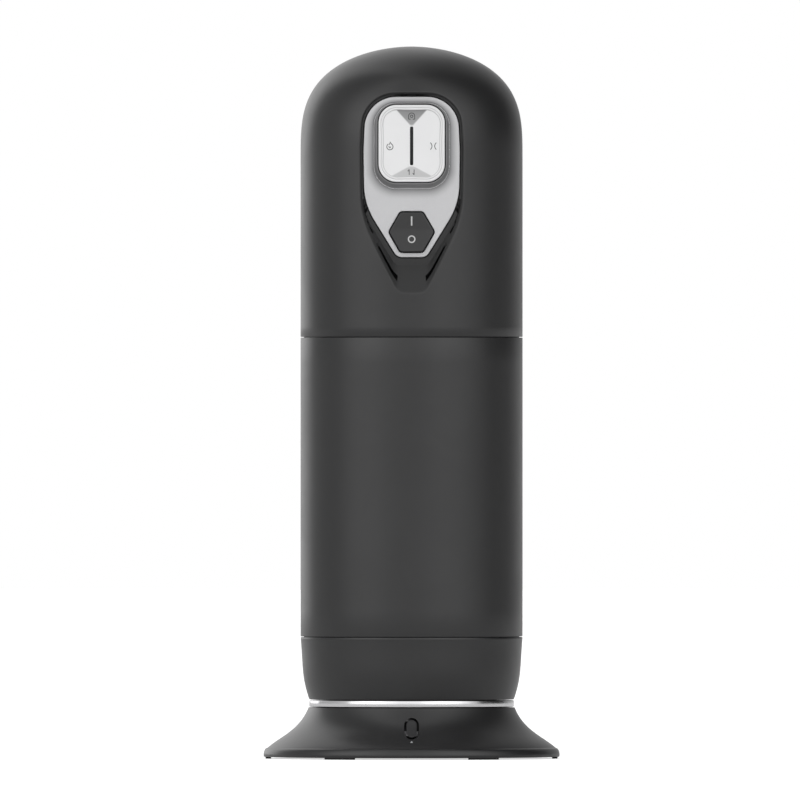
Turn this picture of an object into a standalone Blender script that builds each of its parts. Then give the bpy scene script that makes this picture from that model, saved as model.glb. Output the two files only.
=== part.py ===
"""Cordless heated massager: a domed cylinder that lifts off a weighted, flared stand.

Metres, +Z up, origin on the surface it stands on, under the cylinder's axis. The control side faces -Y.
The stand holds the sprung release button. The cylinder holds the control pad, the rocker switch, the motor,
the lead screw and the carriage that carries the liner sleeve up and down.
"""

import math

import bmesh
import bpy
from mathutils import Matrix, Vector

# Clearances
GAP = 0.0003  # between pieces that rest on or in each other
RUNNING = 0.0004  # between pieces that move past each other
OVERRUN = 0.004  # how far a cutter runs past the wall it cuts

# Facets round a circle
LARGE_STEPS = 32
THREAD_STEPS = 8

# Stand
STAND_RADIUS = 0.0600
STAND_DECK_Z = 0.0207  # top of the flared skirt, under the trim ring
STAND_WALL = 0.0024
FOOT_PROUD = 0.0007
FOOT_THICKNESS = 0.0012
FOOT_COUNT = 6
FOOT_SWEEP = math.radians(13.0)
FOOT_INSET = (0.0027, 0.0008)
RIM_WIDTH = 0.0038  # solid rail under the skirt that the feet stick to
RIM_HEIGHT = 0.0036
FLARE_END = (0.00146, 0.0036)  # where the flare turns into the rim: in from the edge, up from the underside
BASE_PLATE_THICKNESS = 0.0025
BALLAST_THICKNESS = 0.0038
SCREW_GRIP = 0.0034  # length of a base screw inside its post
BASE_SCREW_RADIUS = 0.0013
BASE_SCREW_HEAD = 0.0026
BASE_SCREW_HEAD_HEIGHT = 0.0011
POST_RADIUS = 0.0026
POST_HEIGHT = 0.0120
POST_INSET = 0.0118  # post's middle in from the stand's edge
BALLAST_BORE = 0.0120
BALLAST_PLAY = 0.0012  # between the ballast ring and the posts
TRIM_HEIGHT = 0.0027

# Socket, spigot and latch
SPIGOT_RADIUS = 0.0340
SPIGOT_DEPTH = 0.0155  # how far the spigot reaches below the trim ring's top
MOUTH_RADIUS = 0.0260
LATCH_TRAVEL = 0.0020
LATCH_THICKNESS = 0.0020
LATCH_BITE = 0.0012  # how far the lip reaches into the spigot
SPIGOT_RIM = 0.0012  # spigot's edge below the latch
SPIGOT_WALL = 0.0045
LATCH_HALF_WIDTH = 0.0060

# Release button
BUTTON_WIDTH = 0.0042
BUTTON_HEIGHT = 0.0070
BUTTON_BELOW_LATCH = 0.0004
BUTTON_SLIT = 0.0008
SPRING_RADIUS = 0.0013
SPRING_WIRE = 0.00025
SPRING_ABOVE_LATCH = 0.00095
SPRING_LENGTH = 0.0059
INDICATOR_RADIUS = 0.0005
INDICATOR_BELOW_BUTTON = 0.0020

# Housing
BODY_RADIUS = 0.0450
BODY_WALL = 0.0024
COLLAR_TAPER = 0.0035  # how much the collar narrows down to the trim ring
COLLAR_HEIGHT = 0.0255
BARREL_HEIGHT = 0.1214
DOME_STRAIGHT = 0.0726  # cylindrical part of the dome housing
DOME_RISE = 0.0451
DOME_SHOULDER = 1.909  # superellipse exponents of the dome, across and up
DOME_CROWN = 3.234
SEAM = 0.0003

# Control face, sizes up and down from the widest place of the plate
FACE_DEPTH = 0.0065  # plate's front behind the barrel's front
FACE_ABOVE_SEAM = 0.0751
PLATE_THICKNESS = 0.0016
PLATE_TOP = 0.0219
PLATE_TOP_HALF = 0.0186
PLATE_HALF = 0.0195
PLATE_SHOULDER = 0.0215
PLATE_SHOULDER_HALF = 0.0192
PLATE_BOTTOM = 0.0430
PLATE_BOTTOM_HALF = 0.0059
PLATE_ROUNDING = (0.0105, 0.0600, 0.0090, 0.0025)
FLOOR_MARGIN = (0.0009, 0.0009, 0.0009, 0.0022, 0.0029)  # top, upper side, side, slant, bottom
WALL_DRAFT = (0.29, 0.32, 0.32, 0.75, 1.68)  # run outwards for each unit of depth, on the same edges
TUB_WALL = 0.0020

# Control pad and its ring
PAD_HALF = (0.0134, 0.0156)
PAD_CORNER = 0.0073
PAD_ABOVE_FACE = 0.0030  # pad's centre above the plate's widest place
PAD_PROUD = 0.0027
PAD_THICKNESS = 0.0022
PAD_DISH = 0.0011
RING_FOOT_HALF = (0.0152, 0.0173)
RING_DROP = 0.0010  # ring's foot sits lower than the pad
LIGHT_BAR = (0.0011, 0.0154)

# Rocker switch
ROCKER_BELOW_FACE = 0.0328
ROCKER_HALF = (0.0089, 0.0080)
ROCKER_TOP_HALF = 0.0045
ROCKER_CORNER = 0.0015
ROCKER_TILT = math.radians(6.0)
ROCKER_PROUD = 0.0006
ROCKER_BODY = (0.0120, 0.0090, 0.0085)

# Stroke drive
SLEEVE_BORE = 0.0140
SLEEVE_WALL = 0.0057
SLEEVE_LENGTH = 0.0945
HEATER_WALL = 0.0008
SQUEEZE_TRAVEL = 0.0020
SQUEEZE_WALL = 0.0020
SQUEEZE_HEIGHT = 0.0500
SQUEEZE_SPAN = math.radians(80.0)
CUP_WALL = 0.0018
STROKE = 0.0380
ROD_RADIUS = 0.0025
ROD_ANGLES = (math.radians(210.0), math.radians(330.0))
SCREW_RADIUS = 0.0035
SCREW_ROOT = 0.0024
SCREW_JOURNAL = 0.0022
SCREW_LEAD = 0.0240
THREAD_PLAY = 0.0007
EAR_RADIUS = 0.0066
EAR_HEIGHT = 0.0140
RING_BEHIND_GUIDES = 0.0036  # carriage ring's edge in from the guides' circle
FRAME_THICKNESS = 0.0036
PINION_TEETH = 10
IDLER_TEETH = 17
GEAR_THICKNESS = 0.0040
IDLER_PIN_RADIUS = 0.0014
MOTOR_Y = 0.0080
MOTOR_RADIUS = 0.0122
MOTOR_LENGTH = 0.0357
GEARBOX_LENGTH = 0.0175
CELL_RADIUS = 0.0092
CELL_LENGTH = 0.0650
PUMP_RADIUS = 0.0110
PUMP_LENGTH = 0.0160
SPEAKER_RADIUS = 0.0100
SPEAKER_HEIGHT = 0.0050

# Charging inlet on the back of the dome housing
INLET_BELOW_TOP = 0.0325
INLET_HALF = (0.0045, 0.0016)
COVER_HALF = (0.0073, 0.0048)
COVER_CORNER = 0.0030
COVER_THICKNESS = 0.0016
COVER_HINGE_PROUD = 0.0003

# Heights that follow from the sizes above
TRIM_LOW_Z = STAND_DECK_Z + GAP
TRIM_TOP_Z = TRIM_LOW_Z + TRIM_HEIGHT
COLLAR_LOW_Z = TRIM_TOP_Z + SEAM
BARREL_LOW_Z = COLLAR_LOW_Z + COLLAR_HEIGHT
DOME_LOW_Z = BARREL_LOW_Z + BARREL_HEIGHT
CROWN_Z = DOME_LOW_Z + DOME_STRAIGHT
TOP_Z = CROWN_Z + DOME_RISE
FACE_Y = -(BODY_RADIUS - FACE_DEPTH)
FACE_Z = DOME_LOW_Z + FACE_ABOVE_SEAM
PAD_Z = FACE_Z + PAD_ABOVE_FACE
ROCKER_Z = FACE_Z - ROCKER_BELOW_FACE
TRIM_RADIUS = BODY_RADIUS - COLLAR_TAPER
INNER_RADIUS = BODY_RADIUS - BODY_WALL
SOCKET_RADIUS = SPIGOT_RADIUS + RUNNING
SPIGOT_LOW_Z = TRIM_TOP_Z - SPIGOT_DEPTH
LATCH_LOW_Z = SPIGOT_LOW_Z + SPIGOT_RIM
LATCH_TOP_Z = LATCH_LOW_Z + LATCH_THICKNESS
LATCH_BORE = SOCKET_RADIUS + STAND_WALL + LATCH_TRAVEL + RUNNING
SPRING_SEAT = SOCKET_RADIUS + STAND_WALL + GAP  # distance of the spring's inner end from the axis
LATCH_RADIUS = SPRING_SEAT + SPRING_LENGTH
SPRING_Z = LATCH_TOP_Z + SPRING_ABOVE_LATCH + SPRING_RADIUS + SPRING_WIRE
BUTTON_LOW_Z = LATCH_LOW_Z - BUTTON_BELOW_LATCH
BUTTON_HIGH_Z = BUTTON_LOW_Z + BUTTON_HEIGHT
INDICATOR_Z = BUTTON_LOW_Z - INDICATOR_BELOW_BUTTON
PLATE_LOW_Z = FOOT_PROUD
BALLAST_LOW_Z = PLATE_LOW_Z + BASE_PLATE_THICKNESS + GAP
MOUTH_TOP_Z = COLLAR_LOW_Z + 0.0025
FRAME_LOW_Z = MOUTH_TOP_Z + GAP
FRAME_TOP_Z = FRAME_LOW_Z + FRAME_THICKNESS
DISC_TOP_Z = DOME_LOW_Z + 0.0006
DISC_LOW_Z = DISC_TOP_Z - FRAME_THICKNESS
GUIDE_CIRCLE = INNER_RADIUS - EAR_RADIUS - 0.0010
SLEEVE_RADIUS = SLEEVE_BORE + SLEEVE_WALL
HEATER_RADIUS = SLEEVE_RADIUS + GAP + HEATER_WALL
SQUEEZE_RADIUS = HEATER_RADIUS + 0.0002 + SQUEEZE_TRAVEL + SQUEEZE_WALL
CUP_BORE = SQUEEZE_RADIUS + 0.0004
CUP_RADIUS = CUP_BORE + CUP_WALL
CUP_TOP_Z = DISC_LOW_Z - 0.0015 - STROKE
SLEEVE_LOW_Z = FRAME_LOW_Z + 0.0022
FLANGE_TOP_Z = SLEEVE_LOW_Z + 0.0022
CUP_LOW_Z = FLANGE_TOP_Z + GAP
CARRIAGE_LOW_Z = CUP_TOP_Z - 0.0300
GEAR_LOW_Z = DISC_TOP_Z + 0.0007
GEAR_TOP_Z = GEAR_LOW_Z + GEAR_THICKNESS
GEARBOX_LOW_Z = GEAR_TOP_Z + 0.0023
CELL_LOW_Z = GEARBOX_LOW_Z + 0.0025
GEAR_MODULE = (GUIDE_CIRCLE - MOTOR_Y) / (PINION_TEETH + IDLER_TEETH)
IDLER_Y = MOTOR_Y + GEAR_MODULE * (PINION_TEETH + IDLER_TEETH) / 2
BOARD_FRONT_Y = FACE_Y + PLATE_THICKNESS + GAP + TUB_WALL + 0.0013
INLET_Z = TOP_Z - INLET_BELOW_TOP


class Finish:
    """A named Principled material."""

    def __init__(self, name, colour, roughness, metallic=0.0):
        self.data = bpy.data.materials.new(name)
        self.data.use_nodes = True
        shader = self.data.node_tree.nodes["Principled BSDF"]
        shader.inputs["Base Color"].default_value = (*colour, 1.0)
        shader.inputs["Roughness"].default_value = roughness
        shader.inputs["Metallic"].default_value = metallic


def clear_scene():
    for old in list(bpy.data.objects):
        bpy.data.objects.remove(old)


def make_finishes():
    return {
        "shell": Finish("satin_black", (0.018, 0.018, 0.019), 0.38),
        "matte": Finish("matte_black", (0.020, 0.020, 0.021), 0.55),
        "chrome": Finish("bright_trim", (0.75, 0.75, 0.76), 0.12, 1.0),
        "silver": Finish("silver_plate", (0.55, 0.55, 0.56), 0.35, 0.9),
        "pearl": Finish("pearl_white", (0.86, 0.86, 0.86), 0.30),
        "grey": Finish("grey_ring", (0.22, 0.22, 0.22), 0.40),
        "light": Finish("light_pipe", (0.70, 0.74, 0.78), 0.20),
        "steel": Finish("steel", (0.50, 0.50, 0.51), 0.30, 1.0),
        "rubber": Finish("rubber", (0.015, 0.015, 0.015), 0.80),
        "silicone": Finish("silicone", (0.70, 0.70, 0.68), 0.50),
        "nylon": Finish("nylon", (0.80, 0.79, 0.75), 0.45),
        "board": Finish("circuit_board", (0.02, 0.16, 0.07), 0.45),
        "cell": Finish("cell_wrap", (0.05, 0.20, 0.36), 0.35),
        "brass": Finish("brass", (0.72, 0.52, 0.20), 0.30, 1.0),
        "foil": Finish("heater_foil", (0.62, 0.30, 0.10), 0.45),
    }


# Mesh tools


def add_object(name, bm, finish, origin=(0.0, 0.0, 0.0), parent=None):
    """Links a bmesh modelled in world space as an object whose origin is `origin`."""
    bmesh.ops.remove_doubles(bm, verts=bm.verts, dist=1e-6)
    bmesh.ops.recalc_face_normals(bm, faces=bm.faces)
    bmesh.ops.translate(bm, verts=bm.verts, vec=-Vector(origin))
    mesh = bpy.data.meshes.new(name)
    bm.to_mesh(mesh)
    bm.free()
    mesh.shade_smooth()
    mesh.set_sharp_from_angle(angle=math.radians(30))
    if finish:
        mesh.materials.append(finish.data)
    obj = bpy.data.objects.new(name, mesh)
    bpy.context.scene.collection.objects.link(obj)
    obj.location = Vector(origin) - (parent.location if parent else Vector())
    obj.parent = parent
    return obj


def add_cutter(name, bm):
    obj = add_object(name, bm, None)
    obj.hide_render = True
    obj.display_type = "WIRE"
    return obj


def combine(obj, other, operation):
    modifier = obj.modifiers.new(operation.lower() + "_" + other.name, "BOOLEAN")
    modifier.operation = operation
    modifier.object = other
    return obj


def cut(obj, *cutters):
    for cutter in cutters:
        combine(obj, cutter, "DIFFERENCE")
    return obj


def join(obj, *others):
    for other in others:
        combine(obj, other, "UNION")
    return obj


def keep_inside(obj, other):
    return combine(obj, other, "INTERSECT")


def joint_axis(name, origin):
    """An empty on a joint's axis, which the pieces that move with it hang from."""
    empty = bpy.data.objects.new(name, None)
    bpy.context.scene.collection.objects.link(empty)
    empty.empty_display_size = 0.01
    empty.location = origin
    return empty


def turned(profile, centre=(0.0, 0.0), steps=LARGE_STEPS, axis="Z"):
    """A body of revolution from (radius, along) points: a closed section, or a chain that ends on the axis twice."""
    bm = bmesh.new()
    verts = [bm.verts.new((radius, 0.0, along)) for radius, along in profile]
    pairs = list(zip(verts, verts[1:]))
    if profile[0][0] > 0 or profile[-1][0] > 0:
        pairs.append((verts[-1], verts[0]))
    edges = [bm.edges.new(pair) for pair in pairs]
    bmesh.ops.spin(
        bm, geom=verts + edges, cent=(0, 0, 0), axis=(0, 0, 1), dvec=(0, 0, 0),
        angle=2 * math.pi, steps=steps, use_merge=True, use_duplicate=False,
    )
    if axis == "Y" or centre != (0.0, 0.0):  # keeps a small hole's corners off the large shells' facet lines
        bmesh.ops.rotate(bm, verts=bm.verts, matrix=Matrix.Rotation(math.pi / steps, 3, "Z"))
    if axis == "Y":
        bmesh.ops.rotate(bm, verts=bm.verts, matrix=Matrix.Rotation(math.pi / 2, 3, "X"))
    bmesh.ops.translate(bm, verts=bm.verts, vec=(centre[0], 0, centre[1]) if axis == "Y" else (*centre, 0))
    return bm


def rod(radius, low, high, centre=(0.0, 0.0), steps=24, axis="Z"):
    return turned([(0, low), (radius, low), (radius, high), (0, high)], centre, steps, axis)


def tube(bore, radius, low, high, centre=(0.0, 0.0), steps=LARGE_STEPS):
    return turned([(bore, low), (radius, low), (radius, high), (bore, high)], centre, steps)


def rounded(corners, radii, steps=5):
    """A closed outline with each corner turned into an arc of its own radius."""
    points = []
    count = len(corners)
    for i, radius in enumerate(radii):
        corner = Vector(corners[i])
        before = (Vector(corners[i - 1]) - corner).normalized()
        after = (Vector(corners[(i + 1) % count]) - corner).normalized()
        half = before.angle(after) / 2
        centre = corner + (before + after).normalized() * radius / math.sin(half)
        start = corner + before * radius / math.tan(half) - centre
        end = corner + after * radius / math.tan(half) - centre
        turn = start.angle_signed(end)
        for step in range(steps + 1):
            arm = start.copy()
            arm.rotate(Matrix.Rotation(-turn * step / steps, 2))
            points.append(tuple(centre + arm))
    return points


def rounded_rectangle(half, corner, centre_z, steps=5):
    wide, tall = half
    corners = [(-wide, tall), (wide, tall), (wide, -tall), (-wide, -tall)]
    return [(x, z + centre_z) for x, z in rounded(corners, [corner] * 4, steps)]


def grown(corners, distances):
    """The corners after each edge moves outwards; edge i runs from corner i to corner i + 1, clockwise."""
    lines = []
    for i, distance in enumerate(distances):
        a, b = Vector(corners[i]), Vector(corners[(i + 1) % len(corners)])
        run = (b - a).normalized()
        outwards = Vector((-run.y, run.x))
        lines.append((a + outwards * distance, run))
    moved = []
    for i, (point, run) in enumerate(lines):
        last_point, last_run = lines[i - 1]
        across = last_run.cross(run)
        moved.append(tuple(last_point + last_run * ((point - last_point).cross(run) / across)))
    return moved


def stacked(layers):
    """A solid that passes through outlines of (x, z) points, each at its own y, with equal point counts."""
    bm = bmesh.new()
    rings = [[bm.verts.new((x, y, z)) for x, z in outline] for y, outline in layers]
    for first, second in zip(rings, rings[1:]):
        for i in range(len(first)):
            bm.faces.new((first[i - 1], first[i], second[i], second[i - 1]))
    bm.faces.new(rings[0])
    bm.faces.new(rings[-1])
    return bm


def prism(outline, near_y, far_y):
    return stacked([(near_y, outline), (far_y, outline)])


def box(low, high):
    size = Vector(high) - Vector(low)
    middle = (Vector(high) + Vector(low)) / 2
    bm = bmesh.new()
    bmesh.ops.create_cube(bm, size=1.0)
    bmesh.ops.scale(bm, verts=bm.verts, vec=size)
    bmesh.ops.translate(bm, verts=bm.verts, vec=middle)
    return bm


def arc_block(inner, outer, low, high, middle_angle, sweep, steps=8):
    """A block bent round the Z axis."""
    bm = bmesh.new()
    start = middle_angle - sweep / 2
    ends = [Vector((radius * math.cos(start), radius * math.sin(start), z))
            for radius, z in ((inner, low), (outer, low), (outer, high), (inner, high))]
    face = bm.faces.new([bm.verts.new(end) for end in ends])
    bmesh.ops.spin(
        bm, geom=[face], cent=(0, 0, 0), axis=(0, 0, 1), dvec=(0, 0, 0), angle=sweep, steps=steps,
        use_merge=False, use_duplicate=False,
    )
    return bm


def bezier(start, first, second, end, steps):
    """Points of a cubic curve whose handles are shares of the step from start to end."""
    across, along = end[0] - start[0], end[1] - start[1]
    p1 = (start[0] + first[0] * across, start[1] + first[1] * along)
    p2 = (start[0] + second[0] * across, start[1] + second[1] * along)
    points = []
    for i in range(steps + 1):
        t = i / steps
        weights = ((1 - t) ** 3, 3 * (1 - t) ** 2 * t, 3 * (1 - t) * t * t, t ** 3)
        points.append(tuple(sum(w * p[k] for w, p in zip(weights, (start, p1, p2, end))) for k in (0, 1)))
    return points


def pole(angle, radius):
    return radius * math.cos(angle), radius * math.sin(angle)


# Outer curves shared by neighbouring pieces


def flare_curve(offset=0.0, steps=6):
    """The skirt's side from the deck to the rim, moved inwards by `offset`."""
    top = (TRIM_RADIUS + 0.0003, STAND_DECK_Z)
    foot = (STAND_RADIUS - FLARE_END[0], FOOT_PROUD + FLARE_END[1])
    curve = bezier(top, (0.224, 0.569), (0.68, 0.711), foot, steps)
    if not offset:
        return curve
    moved = []
    for i, point in enumerate(curve):
        a, b = Vector(curve[max(i - 1, 0)]), Vector(curve[min(i + 1, steps)])
        run = (b - a).normalized()
        moved.append((point[0] + run.y * offset, point[1] - run.x * offset))
    return moved


def rim_curve():
    """The skirt's rounded edge, from the flare's foot to the underside."""
    wide, high = FLARE_END
    angles = [math.radians(90 * i / 4) for i in range(1, 5)]
    return [(STAND_RADIUS - wide * (1 - math.sin(a)), FOOT_PROUD + 0.001 + (high - 0.001) * math.cos(a))
            for a in angles] + [(STAND_RADIUS, FOOT_PROUD + 0.0003), (STAND_RADIUS - 0.0003, FOOT_PROUD)]


def collar_curve(offset=0.0, steps=5):
    """The collar's side from its lower edge to the barrel seam."""
    low = (TRIM_RADIUS - offset, COLLAR_LOW_Z)
    high = (BODY_RADIUS - offset, BARREL_LOW_Z - SEAM)
    return bezier(low, (0.89, 0.362), (0.70, 0.5), high, steps)


def dome_curve(offset=0.0, steps=9):
    """The dome from its straight side up to its top, moved inwards by `offset`."""
    points = []
    for i in range(steps + 1):
        turn = math.pi / 2 * i / steps
        across = max(math.cos(turn), 0.0) ** (2 / DOME_SHOULDER)
        up = math.sin(turn) ** (2 / DOME_CROWN)
        points.append(((BODY_RADIUS - offset) * across, CROWN_Z + (DOME_RISE - offset) * up))
    points[-1] = (0.0, TOP_Z - offset)
    return points


def plate_corners():
    """The control plate's corners, clockwise from the top left, as seen from the front."""
    right = [
        (PLATE_TOP_HALF, FACE_Z + PLATE_TOP),
        (PLATE_HALF, FACE_Z),
        (PLATE_SHOULDER_HALF, FACE_Z - PLATE_SHOULDER),
        (PLATE_BOTTOM_HALF, FACE_Z - PLATE_BOTTOM),
    ]
    left = [(-x, z) for x, z in reversed(right)]
    return [left[-1]] + right + left[:-1]


def face_outline(margins, extra_rounding=0.0, steps=5):
    """The plate's outline grown by margins on its top, upper side, side, slant and bottom edges."""
    top, upper, side, slant, bottom = margins
    corners = grown(plate_corners(), [top, upper, side, slant, bottom, slant, side, upper])
    first, bow, shoulder, low = PLATE_ROUNDING
    radii = [first, first, bow, shoulder, low, low, shoulder, bow]
    return rounded(corners, [radius + extra_rounding for radius in radii], steps)


def pocket_layer(y, wall=0.0):
    """The recess outline at depth y, grown by a wall."""
    depth = max(FACE_Y + GAP - y, 0.0)
    return y, face_outline([m + draft * depth + wall for m, draft in zip(FLOOR_MARGIN, WALL_DRAFT)], wall)


def ring_layer(y, half, low, extra=0.0):
    corner = PAD_CORNER + half[0] - PAD_HALF[0]
    return y, rounded_rectangle((half[0] + extra, half[1] + extra), corner + extra, PAD_Z - low)


def rocker_outline(extra=0.0):
    wide, tall = ROCKER_HALF
    corners = [(-ROCKER_TOP_HALF, tall), (ROCKER_TOP_HALF, tall), (wide, 0), (ROCKER_TOP_HALF, -tall),
               (-ROCKER_TOP_HALF, -tall), (-wide, 0)]
    corners = grown(corners, [extra] * 6)
    return [(x, z + ROCKER_Z) for x, z in rounded(corners, [ROCKER_CORNER + extra] * 6, 3)]


def screw_section(z, extra):
    """A two-start round thread's section, turned to suit its height."""
    mean, swing = (SCREW_RADIUS + SCREW_ROOT) / 2, (SCREW_RADIUS - SCREW_ROOT) / 2
    turn = 2 * math.pi * z / SCREW_LEAD
    ring = []
    for i in range(THREAD_STEPS):
        angle = 2 * math.pi * i / THREAD_STEPS
        radius = mean + swing * math.cos(2 * angle) + extra
        ring.append((radius * math.cos(angle + turn), GUIDE_CIRCLE + radius * math.sin(angle + turn), z))
    return ring


def journal_section(z, turn_z):
    turn = 2 * math.pi * turn_z / SCREW_LEAD
    angles = [turn + 2 * math.pi * i / THREAD_STEPS for i in range(THREAD_STEPS)]
    return [(SCREW_JOURNAL * math.cos(angle), GUIDE_CIRCLE + SCREW_JOURNAL * math.sin(angle), z)
            for angle in angles]


def skinned(sections):
    """A solid through rings of points with equal counts."""
    bm = bmesh.new()
    rings = [[bm.verts.new(point) for point in section] for section in sections]
    for first, second in zip(rings, rings[1:]):
        for i in range(len(first)):
            bm.faces.new((first[i - 1], first[i], second[i], second[i - 1]))
    bm.faces.new(rings[0])
    bm.faces.new(rings[-1])
    return bm


def twisted(low, high, extra=0.0):
    """Thread sections from low to high, a twelfth of a turn apart at most."""
    count = math.ceil((high - low) / (SCREW_LEAD / 12))
    return [screw_section(low + (high - low) * i / count, extra) for i in range(count + 1)]


# Stand


def build_stand(finishes):
    skirt_inner = flare_curve(STAND_WALL)
    skirt = add_object("base_skirt", turned(
        [(SOCKET_RADIUS, STAND_DECK_Z)] + flare_curve() + rim_curve()
        + [(STAND_RADIUS - RIM_WIDTH, FOOT_PROUD), (STAND_RADIUS - RIM_WIDTH, FOOT_PROUD + RIM_HEIGHT)]
        + [point for point in reversed(skirt_inner)
           if point[0] < STAND_RADIUS - RIM_WIDTH - 0.001 and point[1] < STAND_DECK_Z - STAND_WALL - 0.0004]
        + [(SOCKET_RADIUS + STAND_WALL + 0.003, STAND_DECK_Z - STAND_WALL),
           (SOCKET_RADIUS + STAND_WALL, STAND_DECK_Z - STAND_WALL - 0.001),
           (SOCKET_RADIUS + STAND_WALL, SPIGOT_LOW_Z + 0.0002), (SOCKET_RADIUS, SPIGOT_LOW_Z + 0.0002)],
        steps=LARGE_STEPS), finishes["shell"])
    post_circle = STAND_RADIUS - POST_INSET
    skirt_core = add_cutter("skirt_core", turned(
        [(0, 0)] + list(reversed(flare_curve(STAND_WALL / 2))) + [(0, STAND_DECK_Z)]))
    for i, angle in enumerate(screw_angles()):
        centre = pole(angle, post_circle)
        pilot_radius, pilot_top = BASE_SCREW_RADIUS + GAP, BALLAST_LOW_Z + SCREW_GRIP + GAP
        post = add_cutter(f"screw_post_{i + 1}", turned(
            [(0, pilot_top), (pilot_radius, pilot_top), (pilot_radius, BALLAST_LOW_Z),
             (POST_RADIUS, BALLAST_LOW_Z),
             (POST_RADIUS, BALLAST_LOW_Z + POST_HEIGHT), (0, BALLAST_LOW_Z + POST_HEIGHT)], centre, 12))
        keep_inside(post, skirt_core)
        join(skirt, post)
    foot_inner, foot_outer = (STAND_RADIUS - inset for inset in FOOT_INSET)
    for i in range(FOOT_COUNT):
        angle = math.radians(-90 + 30) + i * 2 * math.pi / FOOT_COUNT
        add_object(f"foot_pad_{i + 1}", arc_block(foot_inner, foot_outer, 0, FOOT_THICKNESS, angle,
                                                  FOOT_SWEEP),
                   finishes["rubber"])
        margin = GAP / foot_inner
        cut(skirt, add_cutter(f"foot_pocket_{i + 1}", arc_block(
            foot_inner - GAP, foot_outer + GAP, -0.001, FOOT_THICKNESS + GAP, angle, FOOT_SWEEP
            + 2 * margin)))
    cut(skirt, add_cutter("button_slot", prism(
        button_outline(BUTTON_SLIT), -STAND_RADIUS, -SOCKET_RADIUS - STAND_WALL - 0.0007)),
        add_cutter("indicator_hole", rod(INDICATOR_RADIUS + GAP, STAND_RADIUS - 0.012, STAND_RADIUS,
                                         (0, INDICATOR_Z), 16, "Y")),
        add_cutter("latch_window", box(
            (-LATCH_HALF_WIDTH - RUNNING, SOCKET_RADIUS - 0.002, SPIGOT_LOW_Z - 0.001),
            (LATCH_HALF_WIDTH + RUNNING, SOCKET_RADIUS + STAND_WALL + 0.001,
             LATCH_TOP_Z + RUNNING))))
    lens = add_object("indicator_lens", rod(INDICATOR_RADIUS, STAND_RADIUS - 0.010, STAND_RADIUS,
                                            (0, INDICATOR_Z), 16, "Y"), finishes["light"])
    keep_inside(lens, add_cutter("lens_limit", turned(
        [(0, 0)] + [(x, z) for x, z in reversed(flare_curve(0.0001))] + [(0, STAND_DECK_Z)],
        steps=LARGE_STEPS)))

    add_object("trim_ring", turned(
        [(SOCKET_RADIUS + 0.0004, TRIM_LOW_Z), (TRIM_RADIUS - 0.0002, TRIM_LOW_Z),
         (TRIM_RADIUS, TRIM_LOW_Z + 0.0003),
         (TRIM_RADIUS, TRIM_TOP_Z - 0.0003), (TRIM_RADIUS - 0.0002, TRIM_TOP_Z),
         (SOCKET_RADIUS + 0.0004, TRIM_TOP_Z)], steps=LARGE_STEPS), finishes["chrome"])
    plate_radius = STAND_RADIUS - RIM_WIDTH - GAP
    plate = add_object("base_plate", rod(
        plate_radius, PLATE_LOW_Z, PLATE_LOW_Z + BASE_PLATE_THICKNESS, steps=LARGE_STEPS), finishes["matte"])
    add_object("ballast_ring", tube(
        BALLAST_BORE, post_circle - POST_RADIUS - BALLAST_PLAY, BALLAST_LOW_Z, BALLAST_LOW_Z
        + BALLAST_THICKNESS),
        finishes["steel"])
    for i, angle in enumerate(screw_angles()):
        centre = pole(angle, post_circle)
        head_low, tip = PLATE_LOW_Z + GAP, BALLAST_LOW_Z + SCREW_GRIP
        head_z = head_low + BASE_SCREW_HEAD_HEIGHT
        recess, hole = BASE_SCREW_HEAD + RUNNING, BASE_SCREW_RADIUS + GAP
        cut(plate, add_cutter(f"screw_recess_{i + 1}", turned(
            [(0, -OVERRUN), (recess, -OVERRUN), (recess, head_z + GAP), (hole, head_z + GAP),
             (hole, BALLAST_LOW_Z + OVERRUN), (0, BALLAST_LOW_Z + OVERRUN)], centre, 16)))
        add_object(f"base_screw_{i + 1}", turned(
            [(0, head_low), (BASE_SCREW_HEAD, head_low), (BASE_SCREW_HEAD, head_z),
             (BASE_SCREW_RADIUS, head_z),
             (BASE_SCREW_RADIUS, tip), (0, tip)], centre, 16), finishes["steel"])
    add_object("latch_spring", coil(), finishes["steel"])


def screw_angles():
    return [math.radians(90 + 120 * i) for i in range(3)]


def button_outline(extra=0.0):
    half_wide, half_tall = BUTTON_WIDTH / 2 + extra, BUTTON_HEIGHT / 2 + extra
    middle = BUTTON_LOW_Z + BUTTON_HEIGHT / 2
    return rounded_rectangle((half_wide, half_tall), half_wide - 0.0002, middle)


def coil():
    """The compression spring between the socket and the back of the button."""
    turns, around, corners = 5, 8, 4
    rings = []
    for i in range(turns * around + 1):
        angle = 2 * math.pi * i / around
        along = SPRING_SEAT + SPRING_WIRE + (SPRING_LENGTH - 2 * SPRING_WIRE) * i / (turns * around)
        outward = Vector((math.cos(angle), 0.0, math.sin(angle)))
        middle = Vector((0.0, -along, SPRING_Z)) + outward * SPRING_RADIUS
        turns_round = [2 * math.pi * k / corners for k in range(corners)]
        rings.append([tuple(middle + SPRING_WIRE * (outward * math.cos(a) + Vector((0, -math.sin(a), 0))))
                      for a in turns_round])
    return skinned(rings)


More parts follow.
